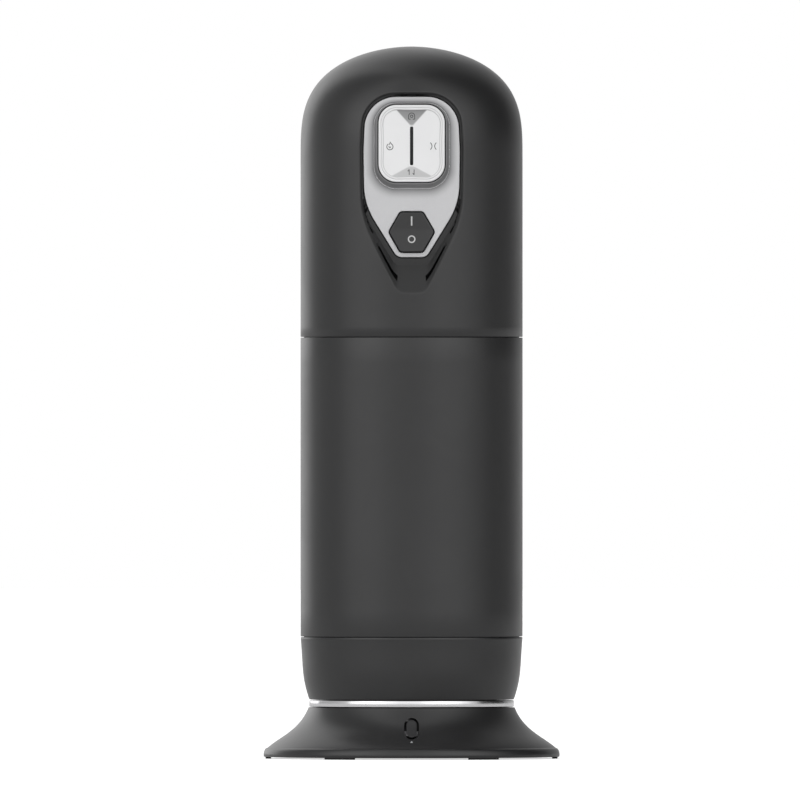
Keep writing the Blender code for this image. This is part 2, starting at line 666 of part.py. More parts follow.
def build_release(finishes):
    axis = joint_axis("release_axis", (0, -LATCH_RADIUS, BUTTON_LOW_Z + BUTTON_HEIGHT / 2))
    origin = tuple(axis.location)
    button = add_object("release_button", prism(button_outline(), -STAND_RADIUS, -LATCH_RADIUS - GAP),
                        finishes["matte"], origin, axis)
    keep_inside(button, add_cutter("button_limit", turned(
        [(0, 0)] + list(reversed(flare_curve(-GAP))) + [(0, STAND_DECK_Z + 0.001)])))
    latch = add_object("latch_plate", tube(
        LATCH_BORE, LATCH_RADIUS, LATCH_LOW_Z, LATCH_TOP_Z), finishes["steel"], origin, axis)
    join(latch, add_cutter("latch_lip", box(
        (-LATCH_HALF_WIDTH, SPIGOT_RADIUS - LATCH_BITE, LATCH_LOW_Z),
        (LATCH_HALF_WIDTH, LATCH_BORE + 0.002, LATCH_TOP_Z))))


# Housing


def build_housing(finishes):
    lift = joint_axis("lift_axis", (0, 0, TRIM_TOP_Z))
    outer = collar_curve()
    collar = outer + [(BODY_RADIUS - BODY_WALL, BARREL_LOW_Z - SEAM)] + [
        (r, z) for r, z in reversed(collar_curve(BODY_WALL)) if z < BARREL_LOW_Z - SEAM - 0.0001]
    add_object("collar_shell", turned(collar, steps=LARGE_STEPS), finishes["shell"], parent=lift)
    add_object("barrel_shell", turned(
        [(INNER_RADIUS, BARREL_LOW_Z), (BODY_RADIUS, BARREL_LOW_Z), (BODY_RADIUS, DOME_LOW_Z - SEAM),
         (INNER_RADIUS, DOME_LOW_Z - SEAM)], steps=LARGE_STEPS), finishes["shell"], parent=lift)
    build_dome(finishes, lift)
    mouth = add_object("mouth_ring", turned(
        [(MOUTH_RADIUS, MOUTH_TOP_Z), (MOUTH_RADIUS, COLLAR_LOW_Z),
         (SPIGOT_RADIUS - SPIGOT_WALL, COLLAR_LOW_Z - 0.003),
         (SPIGOT_RADIUS - SPIGOT_WALL, SPIGOT_LOW_Z), (SPIGOT_RADIUS, SPIGOT_LOW_Z),
         (SPIGOT_RADIUS, COLLAR_LOW_Z),
         (TRIM_RADIUS - BODY_WALL - GAP, COLLAR_LOW_Z), (TRIM_RADIUS - BODY_WALL - GAP, MOUTH_TOP_Z)],
        steps=LARGE_STEPS), finishes["matte"], parent=lift)
    cut(mouth, add_cutter("latch_notch", box(
        (-LATCH_HALF_WIDTH - RUNNING, SPIGOT_RADIUS - LATCH_BITE - RUNNING, SPIGOT_LOW_Z - OVERRUN),
        (LATCH_HALF_WIDTH + RUNNING, SPIGOT_RADIUS + 0.002, LATCH_TOP_Z + RUNNING))))
    return lift


def build_dome(finishes, lift):
    shell = add_object("dome_housing", turned(
        [(0, TOP_Z)] + list(reversed(dome_curve()))[1:] + [(BODY_RADIUS, DOME_LOW_Z),
                                                           (INNER_RADIUS, DOME_LOW_Z)]
        + dome_curve(BODY_WALL), steps=LARGE_STEPS), finishes["shell"], parent=lift)
    core = add_cutter("dome_core", turned(
        [(0, DOME_LOW_Z), (BODY_RADIUS - BODY_WALL / 2, DOME_LOW_Z)] + dome_curve(BODY_WALL / 2),
        steps=LARGE_STEPS))
    cavity_y = FACE_Y + PLATE_THICKNESS + GAP
    floor_y = FACE_Y + GAP
    front_y = -BODY_RADIUS - 0.001
    back_y = cavity_y + TUB_WALL
    tub = add_cutter("tub_block", stacked([
        (back_y, pocket_layer(floor_y, TUB_WALL)[1]), pocket_layer(floor_y - 0.0001, TUB_WALL),
        pocket_layer(front_y, TUB_WALL)]))
    keep_inside(tub, core)
    join(shell, tub)
    cut(shell,
        add_cutter("recess", stacked([pocket_layer(floor_y), pocket_layer(front_y - OVERRUN)])),
        add_cutter("plate_cavity", prism(face_outline([RUNNING] * 5, RUNNING), cavity_y, floor_y - 0.001)),
        add_cutter("pad_opening", prism(ring_layer(0, PAD_HALF, 0, -0.0012)[1], back_y + OVERRUN,
                                        cavity_y - 0.0004)),
        add_cutter("rocker_opening", prism(rocker_outline(RUNNING), back_y + OVERRUN, cavity_y - 0.0004)),
        add_cutter("inlet_opening", prism(rounded_rectangle(
            (COVER_HALF[0] + GAP, COVER_HALF[1] + GAP), COVER_CORNER + GAP, INLET_Z), BODY_RADIUS + OVERRUN,
            0.034)))


def build_controls(finishes, lift):
    plate = add_object("control_plate", prism(face_outline([0.0] * 5), FACE_Y + PLATE_THICKNESS, FACE_Y),
                       finishes["silver"], parent=lift)
    cut(plate,
        add_cutter("ring_window", prism(ring_layer(0, RING_FOOT_HALF, RING_DROP, GAP)[1], FACE_Y + OVERRUN,
                                        FACE_Y - OVERRUN)),
        add_cutter("rocker_window", prism(rocker_outline(RUNNING), FACE_Y + OVERRUN, FACE_Y - OVERRUN)))
    ring_back = FACE_Y + PLATE_THICKNESS
    ring = add_object("pad_ring", stacked([
        ring_layer(ring_back, RING_FOOT_HALF, RING_DROP), ring_layer(FACE_Y, RING_FOOT_HALF, RING_DROP),
        ring_layer(FACE_Y - PAD_PROUD + 0.0006, PAD_HALF, 0, 0.0008)]), finishes["grey"], parent=lift)
    cut(ring, add_cutter("ring_bore", prism(ring_layer(0, PAD_HALF, 0, RUNNING)[1], ring_back + OVERRUN,
                                            FACE_Y - OVERRUN - PAD_PROUD)))

    gimbal_axis = joint_axis("pad_turn_axis", (0, FACE_Y, PAD_Z))
    pad_axis = joint_axis("pad_nod_axis", (0, FACE_Y, PAD_Z))
    pad_back = FACE_Y - PAD_PROUD + PAD_THICKNESS
    gimbal = add_object("pad_gimbal", prism(
        ring_layer(0, PAD_HALF, 0, -0.0016)[1], pad_back + 0.0014, pad_back + 0.0005), finishes["nylon"],
        tuple(gimbal_axis.location), gimbal_axis)
    cut(gimbal, add_cutter("gimbal_window", prism(ring_layer(0, PAD_HALF, 0, -0.0060)[1], OVERRUN + pad_back,
                                                  pad_back - OVERRUN)))
    pad = add_object("control_pad", prism(
        ring_layer(0, PAD_HALF, 0)[1], pad_back, FACE_Y - PAD_PROUD), finishes["pearl"],
        tuple(pad_axis.location), pad_axis)
    cut(pad, add_cutter("pad_dish", pad_hip()),
        add_cutter("light_slot", box(
            (-LIGHT_BAR[0] / 2 - GAP, pad_back - OVERRUN, PAD_Z - LIGHT_BAR[1] / 2 - GAP - 0.001),
            (LIGHT_BAR[0] / 2 + GAP, pad_back + OVERRUN, PAD_Z + LIGHT_BAR[1] / 2 + GAP - 0.001))))
    add_object("light_bar", box(
        (-LIGHT_BAR[0] / 2, FACE_Y - PAD_PROUD + PAD_DISH, PAD_Z - LIGHT_BAR[1] / 2 - 0.001),
        (LIGHT_BAR[0] / 2, pad_back, PAD_Z + LIGHT_BAR[1] / 2 - 0.001)), finishes["light"],
        tuple(pad_axis.location), pad_axis)

    rocker_axis = joint_axis("rocker_axis", (0, FACE_Y + 0.0012, ROCKER_Z))
    build_rocker(finishes, rocker_axis)
    wide, tall, deep = ROCKER_BODY
    body_front = FACE_Y + PLATE_THICKNESS + 0.0019
    add_object("rocker_body", box((-wide / 2, body_front, ROCKER_Z - tall / 2),
                                  (wide / 2, body_front + deep, ROCKER_Z + tall / 2)), finishes["matte"],
               parent=lift)
    board_low, board_high = ROCKER_Z - 0.021, PAD_Z + 0.019
    board = add_object("control_board", box((-0.0150, BOARD_FRONT_Y, board_low),
                                            (0.0150, BOARD_FRONT_Y + 0.0016, board_high)), finishes["board"],
                       parent=lift)
    cut(board, add_cutter("board_window", box(
        (-wide / 2 - GAP, BOARD_FRONT_Y - OVERRUN, ROCKER_Z - tall / 2 - GAP),
        (wide / 2 + GAP, BOARD_FRONT_Y + OVERRUN, ROCKER_Z + tall / 2 + GAP))))
    switch_front = pad_back + 0.0021
    for x, z in ((0, 1), (0, -1), (-1, 0), (1, 0)):
        centre = (x * (PAD_HALF[0] - 0.0045), PAD_Z + z * (PAD_HALF[1] - 0.0045))
        name = f"{round(centre[0] * 1e4)}_{round(centre[1] * 1e4)}"
        join(board,
             add_cutter("switch_case_" + name, box(
                 (centre[0] - 0.0015, BOARD_FRONT_Y - 0.0010, centre[1] - 0.0015),
                 (centre[0] + 0.0015, BOARD_FRONT_Y + 0.0005, centre[1] + 0.0015))),
             add_cutter("switch_plunger_" + name, rod(
                 0.0009, -BOARD_FRONT_Y - 0.0005, -switch_front, centre, 12, "Y")))


def pad_hip():
    """A hipped roof turned outwards, which cuts the pad's four shallow facets."""
    front = FACE_Y - PAD_PROUD - 0.0006
    ridge = FACE_Y - PAD_PROUD + PAD_DISH
    wide, tall = PAD_HALF[0] - 0.0004, PAD_HALF[1] - 0.0008
    ridge_half = LIGHT_BAR[1] / 2
    bm = bmesh.new()
    for x, z in ((-wide, -tall), (wide, -tall), (wide, tall), (-wide, tall)):
        bm.verts.new((x, front, PAD_Z + z))
    for z in (-ridge_half, ridge_half):
        bm.verts.new((0, ridge, PAD_Z - 0.001 + z))
    bmesh.ops.convex_hull(bm, input=bm.verts)
    return bm


def build_rocker(finishes, axis):
    """A hexagonal cap with two faces in a shallow V, tilted so that its upper half is pressed in."""
    back, front = FACE_Y + 0.0014, FACE_Y - 0.0060
    cap = add_object("rocker_cap", prism(rocker_outline(), back, front), finishes["shell"],
                     tuple(axis.location), axis)
    reach = ROCKER_HALF[1] + OVERRUN
    wide = ROCKER_HALF[0] + OVERRUN
    valley = FACE_Y - ROCKER_PROUD
    rise = reach * math.tan(2 * ROCKER_TILT)
    bm = bmesh.new()
    section = [(valley, 0), (valley - rise, -reach), (front - OVERRUN, -reach), (front - OVERRUN, reach),
               (valley, reach)]
    face = bm.faces.new([bm.verts.new((-wide, y, ROCKER_Z + z)) for y, z in section])
    swept = bmesh.ops.extrude_face_region(bm, geom=[face])["geom"]
    bmesh.ops.translate(bm, verts=[v for v in swept if isinstance(v, bmesh.types.BMVert)],
                        vec=(2 * wide, 0, 0))
    cut(cap, add_cutter("rocker_faces", bm))


def build_inlet(finishes, lift):
    socket_front = INNER_RADIUS - 0.0042
    flange = add_object("charge_socket", prism(
        rounded_rectangle((COVER_HALF[0] + 0.0014, COVER_HALF[1] + 0.0014), COVER_CORNER, INLET_Z),
        socket_front, socket_front - 0.0014), finishes["matte"], parent=lift)
    join(flange, add_cutter("socket_body", prism(
        rounded_rectangle((INLET_HALF[0] + 0.001, INLET_HALF[1] + 0.001), INLET_HALF[1], INLET_Z),
        socket_front - 0.001, socket_front - 0.0080)))
    cut(flange, add_cutter("socket_slot", prism(
        rounded_rectangle(INLET_HALF, INLET_HALF[1] * 0.95, INLET_Z), socket_front + OVERRUN,
        socket_front - 0.0060)))
    hinge = joint_axis("cover_axis", (0, BODY_RADIUS + COVER_HINGE_PROUD, INLET_Z - COVER_HALF[1]))
    cover = add_object("port_cover", prism(
        rounded_rectangle(COVER_HALF, COVER_CORNER, INLET_Z), BODY_RADIUS + 0.002,
        BODY_RADIUS - COVER_THICKNESS),
        finishes["rubber"], tuple(hinge.location), hinge)
    keep_inside(cover, add_cutter("cover_limit", turned(
        [(0, DOME_LOW_Z), (BODY_RADIUS - 0.0001, DOME_LOW_Z)] + dome_curve(0.0001), steps=LARGE_STEPS)))


# Stroke drive


def build_frame(finishes, lift):
    lower = add_object("lower_frame", tube(
        CUP_RADIUS + 0.0010, TRIM_RADIUS - BODY_WALL + 0.0007, FRAME_LOW_Z, FRAME_TOP_Z), finishes["nylon"],
        parent=lift)
    upper = add_object("upper_frame", rod(INNER_RADIUS - 0.0004, DISC_LOW_Z, DISC_TOP_Z, steps=LARGE_STEPS),
                       finishes["nylon"], parent=lift)
    for side, angle in zip(("left", "right"), ROD_ANGLES):
        centre = pole(angle, GUIDE_CIRCLE)
        low, high = FRAME_LOW_Z + 0.0012, DISC_TOP_Z - 0.0012
        add_object(f"guide_rod_{side}", rod(ROD_RADIUS, low, high, centre, 20), finishes["steel"],
                   parent=lift)
        cut(lower, add_cutter(f"rod_seat_{side}", rod(ROD_RADIUS + GAP, low - GAP, FRAME_TOP_Z + OVERRUN,
                                                      centre, 20)))
        cut(upper, add_cutter(f"rod_cap_{side}", rod(ROD_RADIUS + GAP, DISC_LOW_Z - OVERRUN, high + GAP,
                                                     centre, 20)))
    screw_place = (0, GUIDE_CIRCLE)
    bush_radius = SCREW_JOURNAL + 0.0018
    cut(lower, add_cutter("lower_bush_seat", rod(
        bush_radius + GAP, FRAME_LOW_Z + 0.0008, FRAME_TOP_Z + OVERRUN, screw_place)))
    cut(upper, add_cutter("upper_bush_seat", rod(
        bush_radius + GAP, DISC_LOW_Z - OVERRUN, DISC_TOP_Z + OVERRUN, screw_place)))
    add_object("screw_bush_lower", tube(SCREW_JOURNAL + 0.0002, bush_radius, FRAME_LOW_Z + 0.0011,
                                        FRAME_TOP_Z,
                                        screw_place, 24), finishes["brass"], parent=lift)
    add_object("screw_bush_upper", tube(SCREW_JOURNAL + 0.0002, bush_radius, DISC_LOW_Z + 0.0002, DISC_TOP_Z,
                                        screw_place, 24), finishes["brass"], parent=lift)
    add_object("idler_pin", turned(
        [(0, DISC_TOP_Z + GAP), (0.0022, DISC_TOP_Z + GAP), (0.0022, GEAR_LOW_Z - 0.0001),
         (IDLER_PIN_RADIUS, GEAR_LOW_Z - 0.0001), (IDLER_PIN_RADIUS, GEARBOX_LOW_Z - 0.0007),
         (0, GEARBOX_LOW_Z - 0.0007)],
        (0, IDLER_Y), 16), finishes["steel"], parent=lift)


def build_power(finishes, lift):
    gearbox_top = GEARBOX_LOW_Z + GEARBOX_LENGTH
    motor_top = gearbox_top + GAP + MOTOR_LENGTH
    place = (0, MOTOR_Y)
    add_object("motor_gearbox", rod(MOTOR_RADIUS - 0.0004, GEARBOX_LOW_Z, gearbox_top, place, 32),
               finishes["steel"], parent=lift)
    add_object("motor", turned(
        [(0, gearbox_top + GAP), (MOTOR_RADIUS, gearbox_top + GAP), (MOTOR_RADIUS, motor_top - 0.002),
         (MOTOR_RADIUS - 0.001, motor_top - 0.001), (0.004, motor_top - 0.001), (0.004, motor_top),
         (0, motor_top)],
        place, 32), finishes["steel"], parent=lift)
    pump_low = motor_top + 0.0020
    add_object("air_pump", turned(
        [(0, pump_low), (PUMP_RADIUS, pump_low), (PUMP_RADIUS, pump_low + PUMP_LENGTH - 0.003),
         (0.003, pump_low + PUMP_LENGTH - 0.003), (0.002, pump_low + PUMP_LENGTH),
         (0, pump_low + PUMP_LENGTH)],
        place, 24), finishes["matte"], parent=lift)
    speaker_low = pump_low + PUMP_LENGTH + 0.004
    add_object("speaker", turned(
        [(0, speaker_low), (SPEAKER_RADIUS * 0.6, speaker_low), (SPEAKER_RADIUS, speaker_low + 0.002),
         (SPEAKER_RADIUS, speaker_low + SPEAKER_HEIGHT), (0, speaker_low + SPEAKER_HEIGHT - 0.001)],
        place, 24), finishes["matte"], parent=lift)
    cradle = add_object("battery_cradle", rod(
        INNER_RADIUS - 0.0014, GEARBOX_LOW_Z, CELL_LOW_Z - GAP, steps=LARGE_STEPS),
                        finishes["nylon"], parent=lift)
    cut(cradle, add_cutter("gearbox_hole", rod(MOTOR_RADIUS + GAP, GEARBOX_LOW_Z - OVERRUN, CELL_LOW_Z
                                               + OVERRUN,
                                               place, 32)))
    beside = MOTOR_RADIUS + CELL_RADIUS + 0.0056
    behind = INNER_RADIUS - CELL_RADIUS - 0.0010
    cells = {"left": (-beside, MOTOR_Y - 0.004), "right": (beside, MOTOR_Y - 0.004), "rear": (0, behind)}
    for name, centre in cells.items():
        top = CELL_LOW_Z + CELL_LENGTH
        add_object(f"battery_cell_{name}", turned(
            [(0, CELL_LOW_Z), (CELL_RADIUS, CELL_LOW_Z), (CELL_RADIUS, top - 0.0014), (0.0030, top - 0.0014),
             (0.0030, top), (0, top)], centre, 24), finishes["cell"], parent=lift)


def build_carriage(finishes):
    carriage = joint_axis("carriage_axis", (0, 0, CARRIAGE_LOW_Z))
    origin = tuple(carriage.location)
    ring_high = CARRIAGE_LOW_Z + EAR_HEIGHT - 0.004
    add_object("sleeve_cup", turned(
        [(CUP_BORE, CUP_LOW_Z), (CUP_RADIUS, CUP_LOW_Z), (CUP_RADIUS, CUP_TOP_Z), (0.0120, CUP_TOP_Z),
         (0.0120, CUP_TOP_Z - CUP_WALL), (CUP_BORE, CUP_TOP_Z - CUP_WALL)]), finishes["nylon"], origin,
         carriage)
    ring = add_object("carriage_ring", tube(
        CUP_RADIUS + GAP, GUIDE_CIRCLE - RING_BEHIND_GUIDES, CARRIAGE_LOW_Z + 0.002, ring_high),
                      finishes["matte"], origin, carriage)
    ear_high = CARRIAGE_LOW_Z + EAR_HEIGHT
    cup_clear = add_cutter("cup_clearance", rod(
        CUP_RADIUS + GAP, CARRIAGE_LOW_Z - OVERRUN, ear_high + OVERRUN, steps=LARGE_STEPS))
    bush_radius = ROD_RADIUS + 0.0017
    nut_radius = SCREW_RADIUS + 0.0017
    for name, angle, bore in (("left", ROD_ANGLES[0], bush_radius), ("right", ROD_ANGLES[1], bush_radius),
                              ("nut", math.pi / 2, nut_radius)):
        centre = pole(angle, GUIDE_CIRCLE)
        ear = add_cutter(f"ear_{name}", rod(EAR_RADIUS, CARRIAGE_LOW_Z, ear_high, centre, 28))
        cut(ear, cup_clear)
        join(ring, ear)
        cut(ring, add_cutter(f"ear_bore_{name}", rod(
            bore + GAP, CARRIAGE_LOW_Z - OVERRUN, ear_high + OVERRUN, centre, 24)))
        if name != "nut":
            add_object(f"guide_bush_{name}", tube(
                ROD_RADIUS + 0.0002, bush_radius, CARRIAGE_LOW_Z, ear_high, centre, 20), finishes["brass"],
                origin, carriage)
    nut = add_object("drive_nut", rod(nut_radius, CARRIAGE_LOW_Z, ear_high, (0, GUIDE_CIRCLE), 24),
                     finishes["brass"], origin, carriage)
    cut(nut, add_cutter("nut_thread", skinned(twisted(
        CARRIAGE_LOW_Z - SCREW_LEAD / 12, ear_high + SCREW_LEAD / 12, THREAD_PLAY))))
    sleeve_top = SLEEVE_LOW_Z + SLEEVE_LENGTH
    add_object("liner_sleeve", turned(
        [(SLEEVE_BORE, SLEEVE_LOW_Z + 0.002), (SLEEVE_BORE + 0.002, SLEEVE_LOW_Z),
         (CUP_RADIUS - 0.0002, SLEEVE_LOW_Z),
         (CUP_RADIUS - 0.0002, FLANGE_TOP_Z), (SLEEVE_RADIUS, FLANGE_TOP_Z), (SLEEVE_RADIUS, sleeve_top),
         (SLEEVE_BORE, sleeve_top)], steps=LARGE_STEPS), finishes["silicone"], origin, carriage)
    add_object("heater_tube", tube(SLEEVE_RADIUS + GAP, HEATER_RADIUS, FLANGE_TOP_Z + 0.003,
                                   sleeve_top - 0.004,
                                   steps=LARGE_STEPS), finishes["foil"], origin, carriage)
    squeeze_low = CARRIAGE_LOW_Z - SQUEEZE_HEIGHT + 0.008
    for side, angle in (("left", math.pi), ("right", 0.0)):
        axis = joint_axis(f"squeeze_{side}_axis", (math.cos(angle) * SQUEEZE_RADIUS, 0, squeeze_low))
        add_object(f"squeeze_pad_{side}", arc_block(
            SQUEEZE_RADIUS - SQUEEZE_WALL, SQUEEZE_RADIUS, squeeze_low, squeeze_low + SQUEEZE_HEIGHT, angle,
            SQUEEZE_SPAN), finishes["silicone"], tuple(axis.location), axis)


def gear_outline(teeth, phase):
    """Straight-flanked teeth, thinner than their gaps by a little backlash."""
    radius = GEAR_MODULE * teeth / 2
    root, tip = radius - 1.15 * GEAR_MODULE, radius + 0.85 * GEAR_MODULE
    pitch = 2 * math.pi / teeth
    points = []
    for i in range(teeth):
        middle = phase + i * pitch
        for share, at in ((-0.27, root), (-0.11, tip), (0.11, tip), (0.27, root)):
            points.append(pole(middle + share * pitch, at))
    return points


def gear(teeth, phase, centre):
    bm = bmesh.new()
    face = bm.faces.new([bm.verts.new((x + centre[0], y + centre[1], GEAR_LOW_Z))
                         for x, y in gear_outline(teeth, phase)])
    raised = bmesh.ops.extrude_face_region(bm, geom=[face])["geom"]
    bmesh.ops.translate(bm, verts=[v for v in raised if isinstance(v, bmesh.types.BMVert)],
                        vec=(0, 0, GEAR_THICKNESS))
    return bm


def gear_bore(radius, centre):
    return rod(radius, GEAR_LOW_Z - OVERRUN, GEAR_TOP_Z + OVERRUN, centre, 16)


def build_drive(finishes):
    up = math.pi / 2
    screw_place = (0, GUIDE_CIRCLE)
    screw_axis = joint_axis("screw_axis", (*screw_place, GEAR_LOW_Z))
    origin = tuple(screw_axis.location)
    thread_low, thread_high = FRAME_TOP_Z + 0.0014, DISC_LOW_Z - 0.0014
    sections = [journal_section(FRAME_LOW_Z + 0.0014, thread_low),
                journal_section(thread_low - 0.0007, thread_low)]
    sections += twisted(thread_low, thread_high)
    sections += [journal_section(thread_high + 0.0007, thread_high),
                 journal_section(GEAR_TOP_Z + 0.0005, thread_high)]
    add_object("lead_screw", skinned(sections), finishes["steel"], origin, screw_axis)
    half_pitch = math.pi / PINION_TEETH
    cut(add_object("screw_gear", gear(PINION_TEETH, -up + half_pitch, screw_place), finishes["brass"], origin,
                   screw_axis),
        add_cutter("screw_gear_bore", gear_bore(SCREW_JOURNAL + 0.0002, screw_place)))
    idler_axis = joint_axis("idler_axis", (0, IDLER_Y, GEAR_LOW_Z))
    idler_place = (0, IDLER_Y)
    cut(add_object("idler_gear", gear(IDLER_TEETH, -up + math.pi / IDLER_TEETH, idler_place),
                   finishes["nylon"],
                   tuple(idler_axis.location), idler_axis),
        add_cutter("idler_gear_bore", gear_bore(IDLER_PIN_RADIUS + 0.0002, idler_place)))
    pinion_axis = joint_axis("pinion_axis", (0, MOTOR_Y, GEAR_LOW_Z))
    pinion = add_object("motor_pinion", gear(PINION_TEETH, up, (0, MOTOR_Y)), finishes["brass"],
                        tuple(pinion_axis.location), pinion_axis)
    join(pinion, add_cutter("pinion_shaft", rod(0.0020, GEAR_LOW_Z + 0.001, GEARBOX_LOW_Z - GAP,
                                                (0, MOTOR_Y), 16)))


def main():
    clear_scene()
    finishes = make_finishes()
    build_stand(finishes)
    build_release(finishes)
    lift = build_housing(finishes)
    build_controls(finishes, lift)
    build_inlet(finishes, lift)
    build_frame(finishes, lift)
    build_power(finishes, lift)
    build_carriage(finishes)
    build_drive(finishes)


main()
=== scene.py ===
"""The looks of a cordless heated massager on a weighted stand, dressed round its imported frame.

Metres, +Z up, control side towards -Y. Each class below is one sub-assembly: it reads its places from
the frame, builds fine meshes over the plain solids, and gives every piece its finish.
"""

import bisect
import logging
import math
import sys
from dataclasses import dataclass
from enum import Enum
from typing import Callable

import bmesh
import bpy
from mathutils import Matrix, Vector


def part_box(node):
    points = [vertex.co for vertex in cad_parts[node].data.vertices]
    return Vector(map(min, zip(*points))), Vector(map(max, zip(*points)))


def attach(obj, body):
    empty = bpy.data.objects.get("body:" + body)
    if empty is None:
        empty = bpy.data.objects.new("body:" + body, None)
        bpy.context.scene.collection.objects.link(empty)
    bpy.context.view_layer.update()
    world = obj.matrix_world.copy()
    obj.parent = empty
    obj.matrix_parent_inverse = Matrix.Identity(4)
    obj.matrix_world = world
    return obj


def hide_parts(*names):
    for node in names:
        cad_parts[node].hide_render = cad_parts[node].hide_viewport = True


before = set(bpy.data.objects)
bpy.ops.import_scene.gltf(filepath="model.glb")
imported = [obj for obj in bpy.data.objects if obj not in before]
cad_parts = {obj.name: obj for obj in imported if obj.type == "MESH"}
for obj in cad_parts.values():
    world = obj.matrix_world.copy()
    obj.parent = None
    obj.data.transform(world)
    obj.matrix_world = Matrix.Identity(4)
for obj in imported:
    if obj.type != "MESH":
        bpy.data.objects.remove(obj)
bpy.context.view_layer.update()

LOG = logging.getLogger("massager")
MM = 0.001
Point = tuple[float, float]
SurfaceY = Callable[[float, float], float]
# Vertex attribute of painted shade: it darkens the colour and raises the roughness on the plate, the pad and
# the control recess
PLACE = "place"
PAINTED_SHADE = "painted_shade"


class Facing(Enum):
    """Which way a window in a turned shell looks: the sign of its Y."""

    FRONT = -1
    BACK = 1


# Outlines in the XZ plane


def rounded(corners: list[Point], radii: list[float], steps: int = 10) -> list[Point]:
    """Turns each corner of a closed outline into an arc.

    Args:
        corners: the outline's corners, in order.
        radii: the arc's radius at each corner.
        steps: how many pieces each arc has.

    Returns:
        The outline's points.
    """
    points = []
    count = len(corners)
    for i, radius in enumerate(radii):
        corner = Vector(corners[i])
        before = (Vector(corners[i - 1]) - corner).normalized()
        after = (Vector(corners[(i + 1) % count]) - corner).normalized()
        half = before.angle(after) / 2
        centre = corner + (before + after).normalized() * radius / math.sin(half)
        start = corner + before * radius / math.tan(half) - centre
        end = corner + after * radius / math.tan(half) - centre
        turn = start.angle_signed(end)
        for step in range(steps + 1):
            arm = start.copy()
            arm.rotate(Matrix.Rotation(-turn * step / steps, 2))
            points.append(tuple(centre + arm))
    return points


def rounded_rectangle(half: Point, corner: float, centre_z: float, steps: int = 10) -> list[Point]:
    """A rounded rectangle about x = 0.

    Args:
        half: half its width and half its height.
        corner: its corner radius.
        centre_z: height of its middle.
        steps: pieces in each corner arc.

    Returns:
        The outline's points, clockwise.
    """
    wide, tall = half
    corners = [(-wide, tall), (wide, tall), (wide, -tall), (-wide, -tall)]
    return [(x, z + centre_z) for x, z in rounded(corners, [corner] * 4, steps)]


def grown(corners: list[Point], distances: list[float]) -> list[Point]:
    """Moves each edge of a clockwise outline outwards.

    Args:
        corners: the outline's corners.
        distances: how far edge i, from corner i to corner i + 1, moves.

    Returns:
        The new corners.
    """
    lines = []
    for i, distance in enumerate(distances):
        a, b = Vector(corners[i]), Vector(corners[(i + 1) % len(corners)])
        run = (b - a).normalized()
        lines.append((a + Vector((-run.y, run.x)) * distance, run))
    moved = []
    for i, (point, run) in enumerate(lines):
        last_point, last_run = lines[i - 1]
        share = (point - last_point).cross(run) / last_run.cross(run)
        moved.append(tuple(last_point + last_run * share))
    return moved


def bezier(start: Point, first: Point, second: Point, end: Point, steps: int) -> list[Point]:
    """A cubic curve whose handles are shares of the step from start to end.

    Args:
        start: first point.
        first: shares across and along for the first handle.
        second: shares across and along for the second handle.
        end: last point.
        steps: pieces in the curve.

    Returns:
        The curve's points.
    """
    across, along = end[0] - start[0], end[1] - start[1]
    handles = (start, (start[0] + first[0] * across, start[1] + first[1] * along),
               (start[0] + second[0] * across, start[1] + second[1] * along), end)
    points = []
    for i in range(steps + 1):
        t = i / steps
        weights = ((1 - t) ** 3, 3 * (1 - t) ** 2 * t, 3 * (1 - t) * t * t, t ** 3)
        points.append(tuple(sum(w * p[k] for w, p in zip(weights, handles)) for k in (0, 1)))
    return points


def smooth_step(value: float) -> float:
    """A soft ramp from 0 to 1."""
    t = min(max(value, 0.0), 1.0)
    return t * t * (3 - 2 * t)


def soft_least(a: float, b: float, blend: float) -> float:
    """The smaller of two numbers, with the corner between them eased over `blend`."""
    share = max(blend - abs(a - b), 0.0) / blend
    return min(a, b) - share * share * blend / 4


class Star:
    """A closed outline seen from a point inside it."""

    def __init__(self, outline: list[Point], centre: Point) -> None:
        """Sorts the outline's points by direction from the centre."""
        spokes = sorted((math.atan2(z - centre[1], x - centre[0]), x - centre[0], z - centre[1]) for x,
                        z in outline)
        self.centre = centre
        self.angles = [spoke[0] for spoke in spokes]
        self.arms = [Vector(spoke[1:]) for spoke in spokes]

    def reach(self, angle: float) -> float:
        """Distance from the centre to the outline in one direction."""
        i = bisect.bisect(self.angles, angle) % len(self.angles)
        start, run = self.arms[i - 1], self.arms[i] - self.arms[i - 1]
        way = Vector((math.cos(angle), math.sin(angle)))
        return start.cross(run) / way.cross(run)

    def at(self, angle: float, reach: float) -> Point:
        """The point that lies `reach` from the centre in one direction."""
        return self.centre[0] + reach * math.cos(angle), self.centre[1] + reach * math.sin(angle)


# Mesh tools


def new_mesh() -> bmesh.types.BMesh:
    """An empty bmesh whose vertices can carry a place in a ring and an amount of painted shade."""
    bm = bmesh.new()
    bm.verts.layers.int.new(PLACE)
    bm.verts.layers.float.new(PAINTED_SHADE)
    return bm


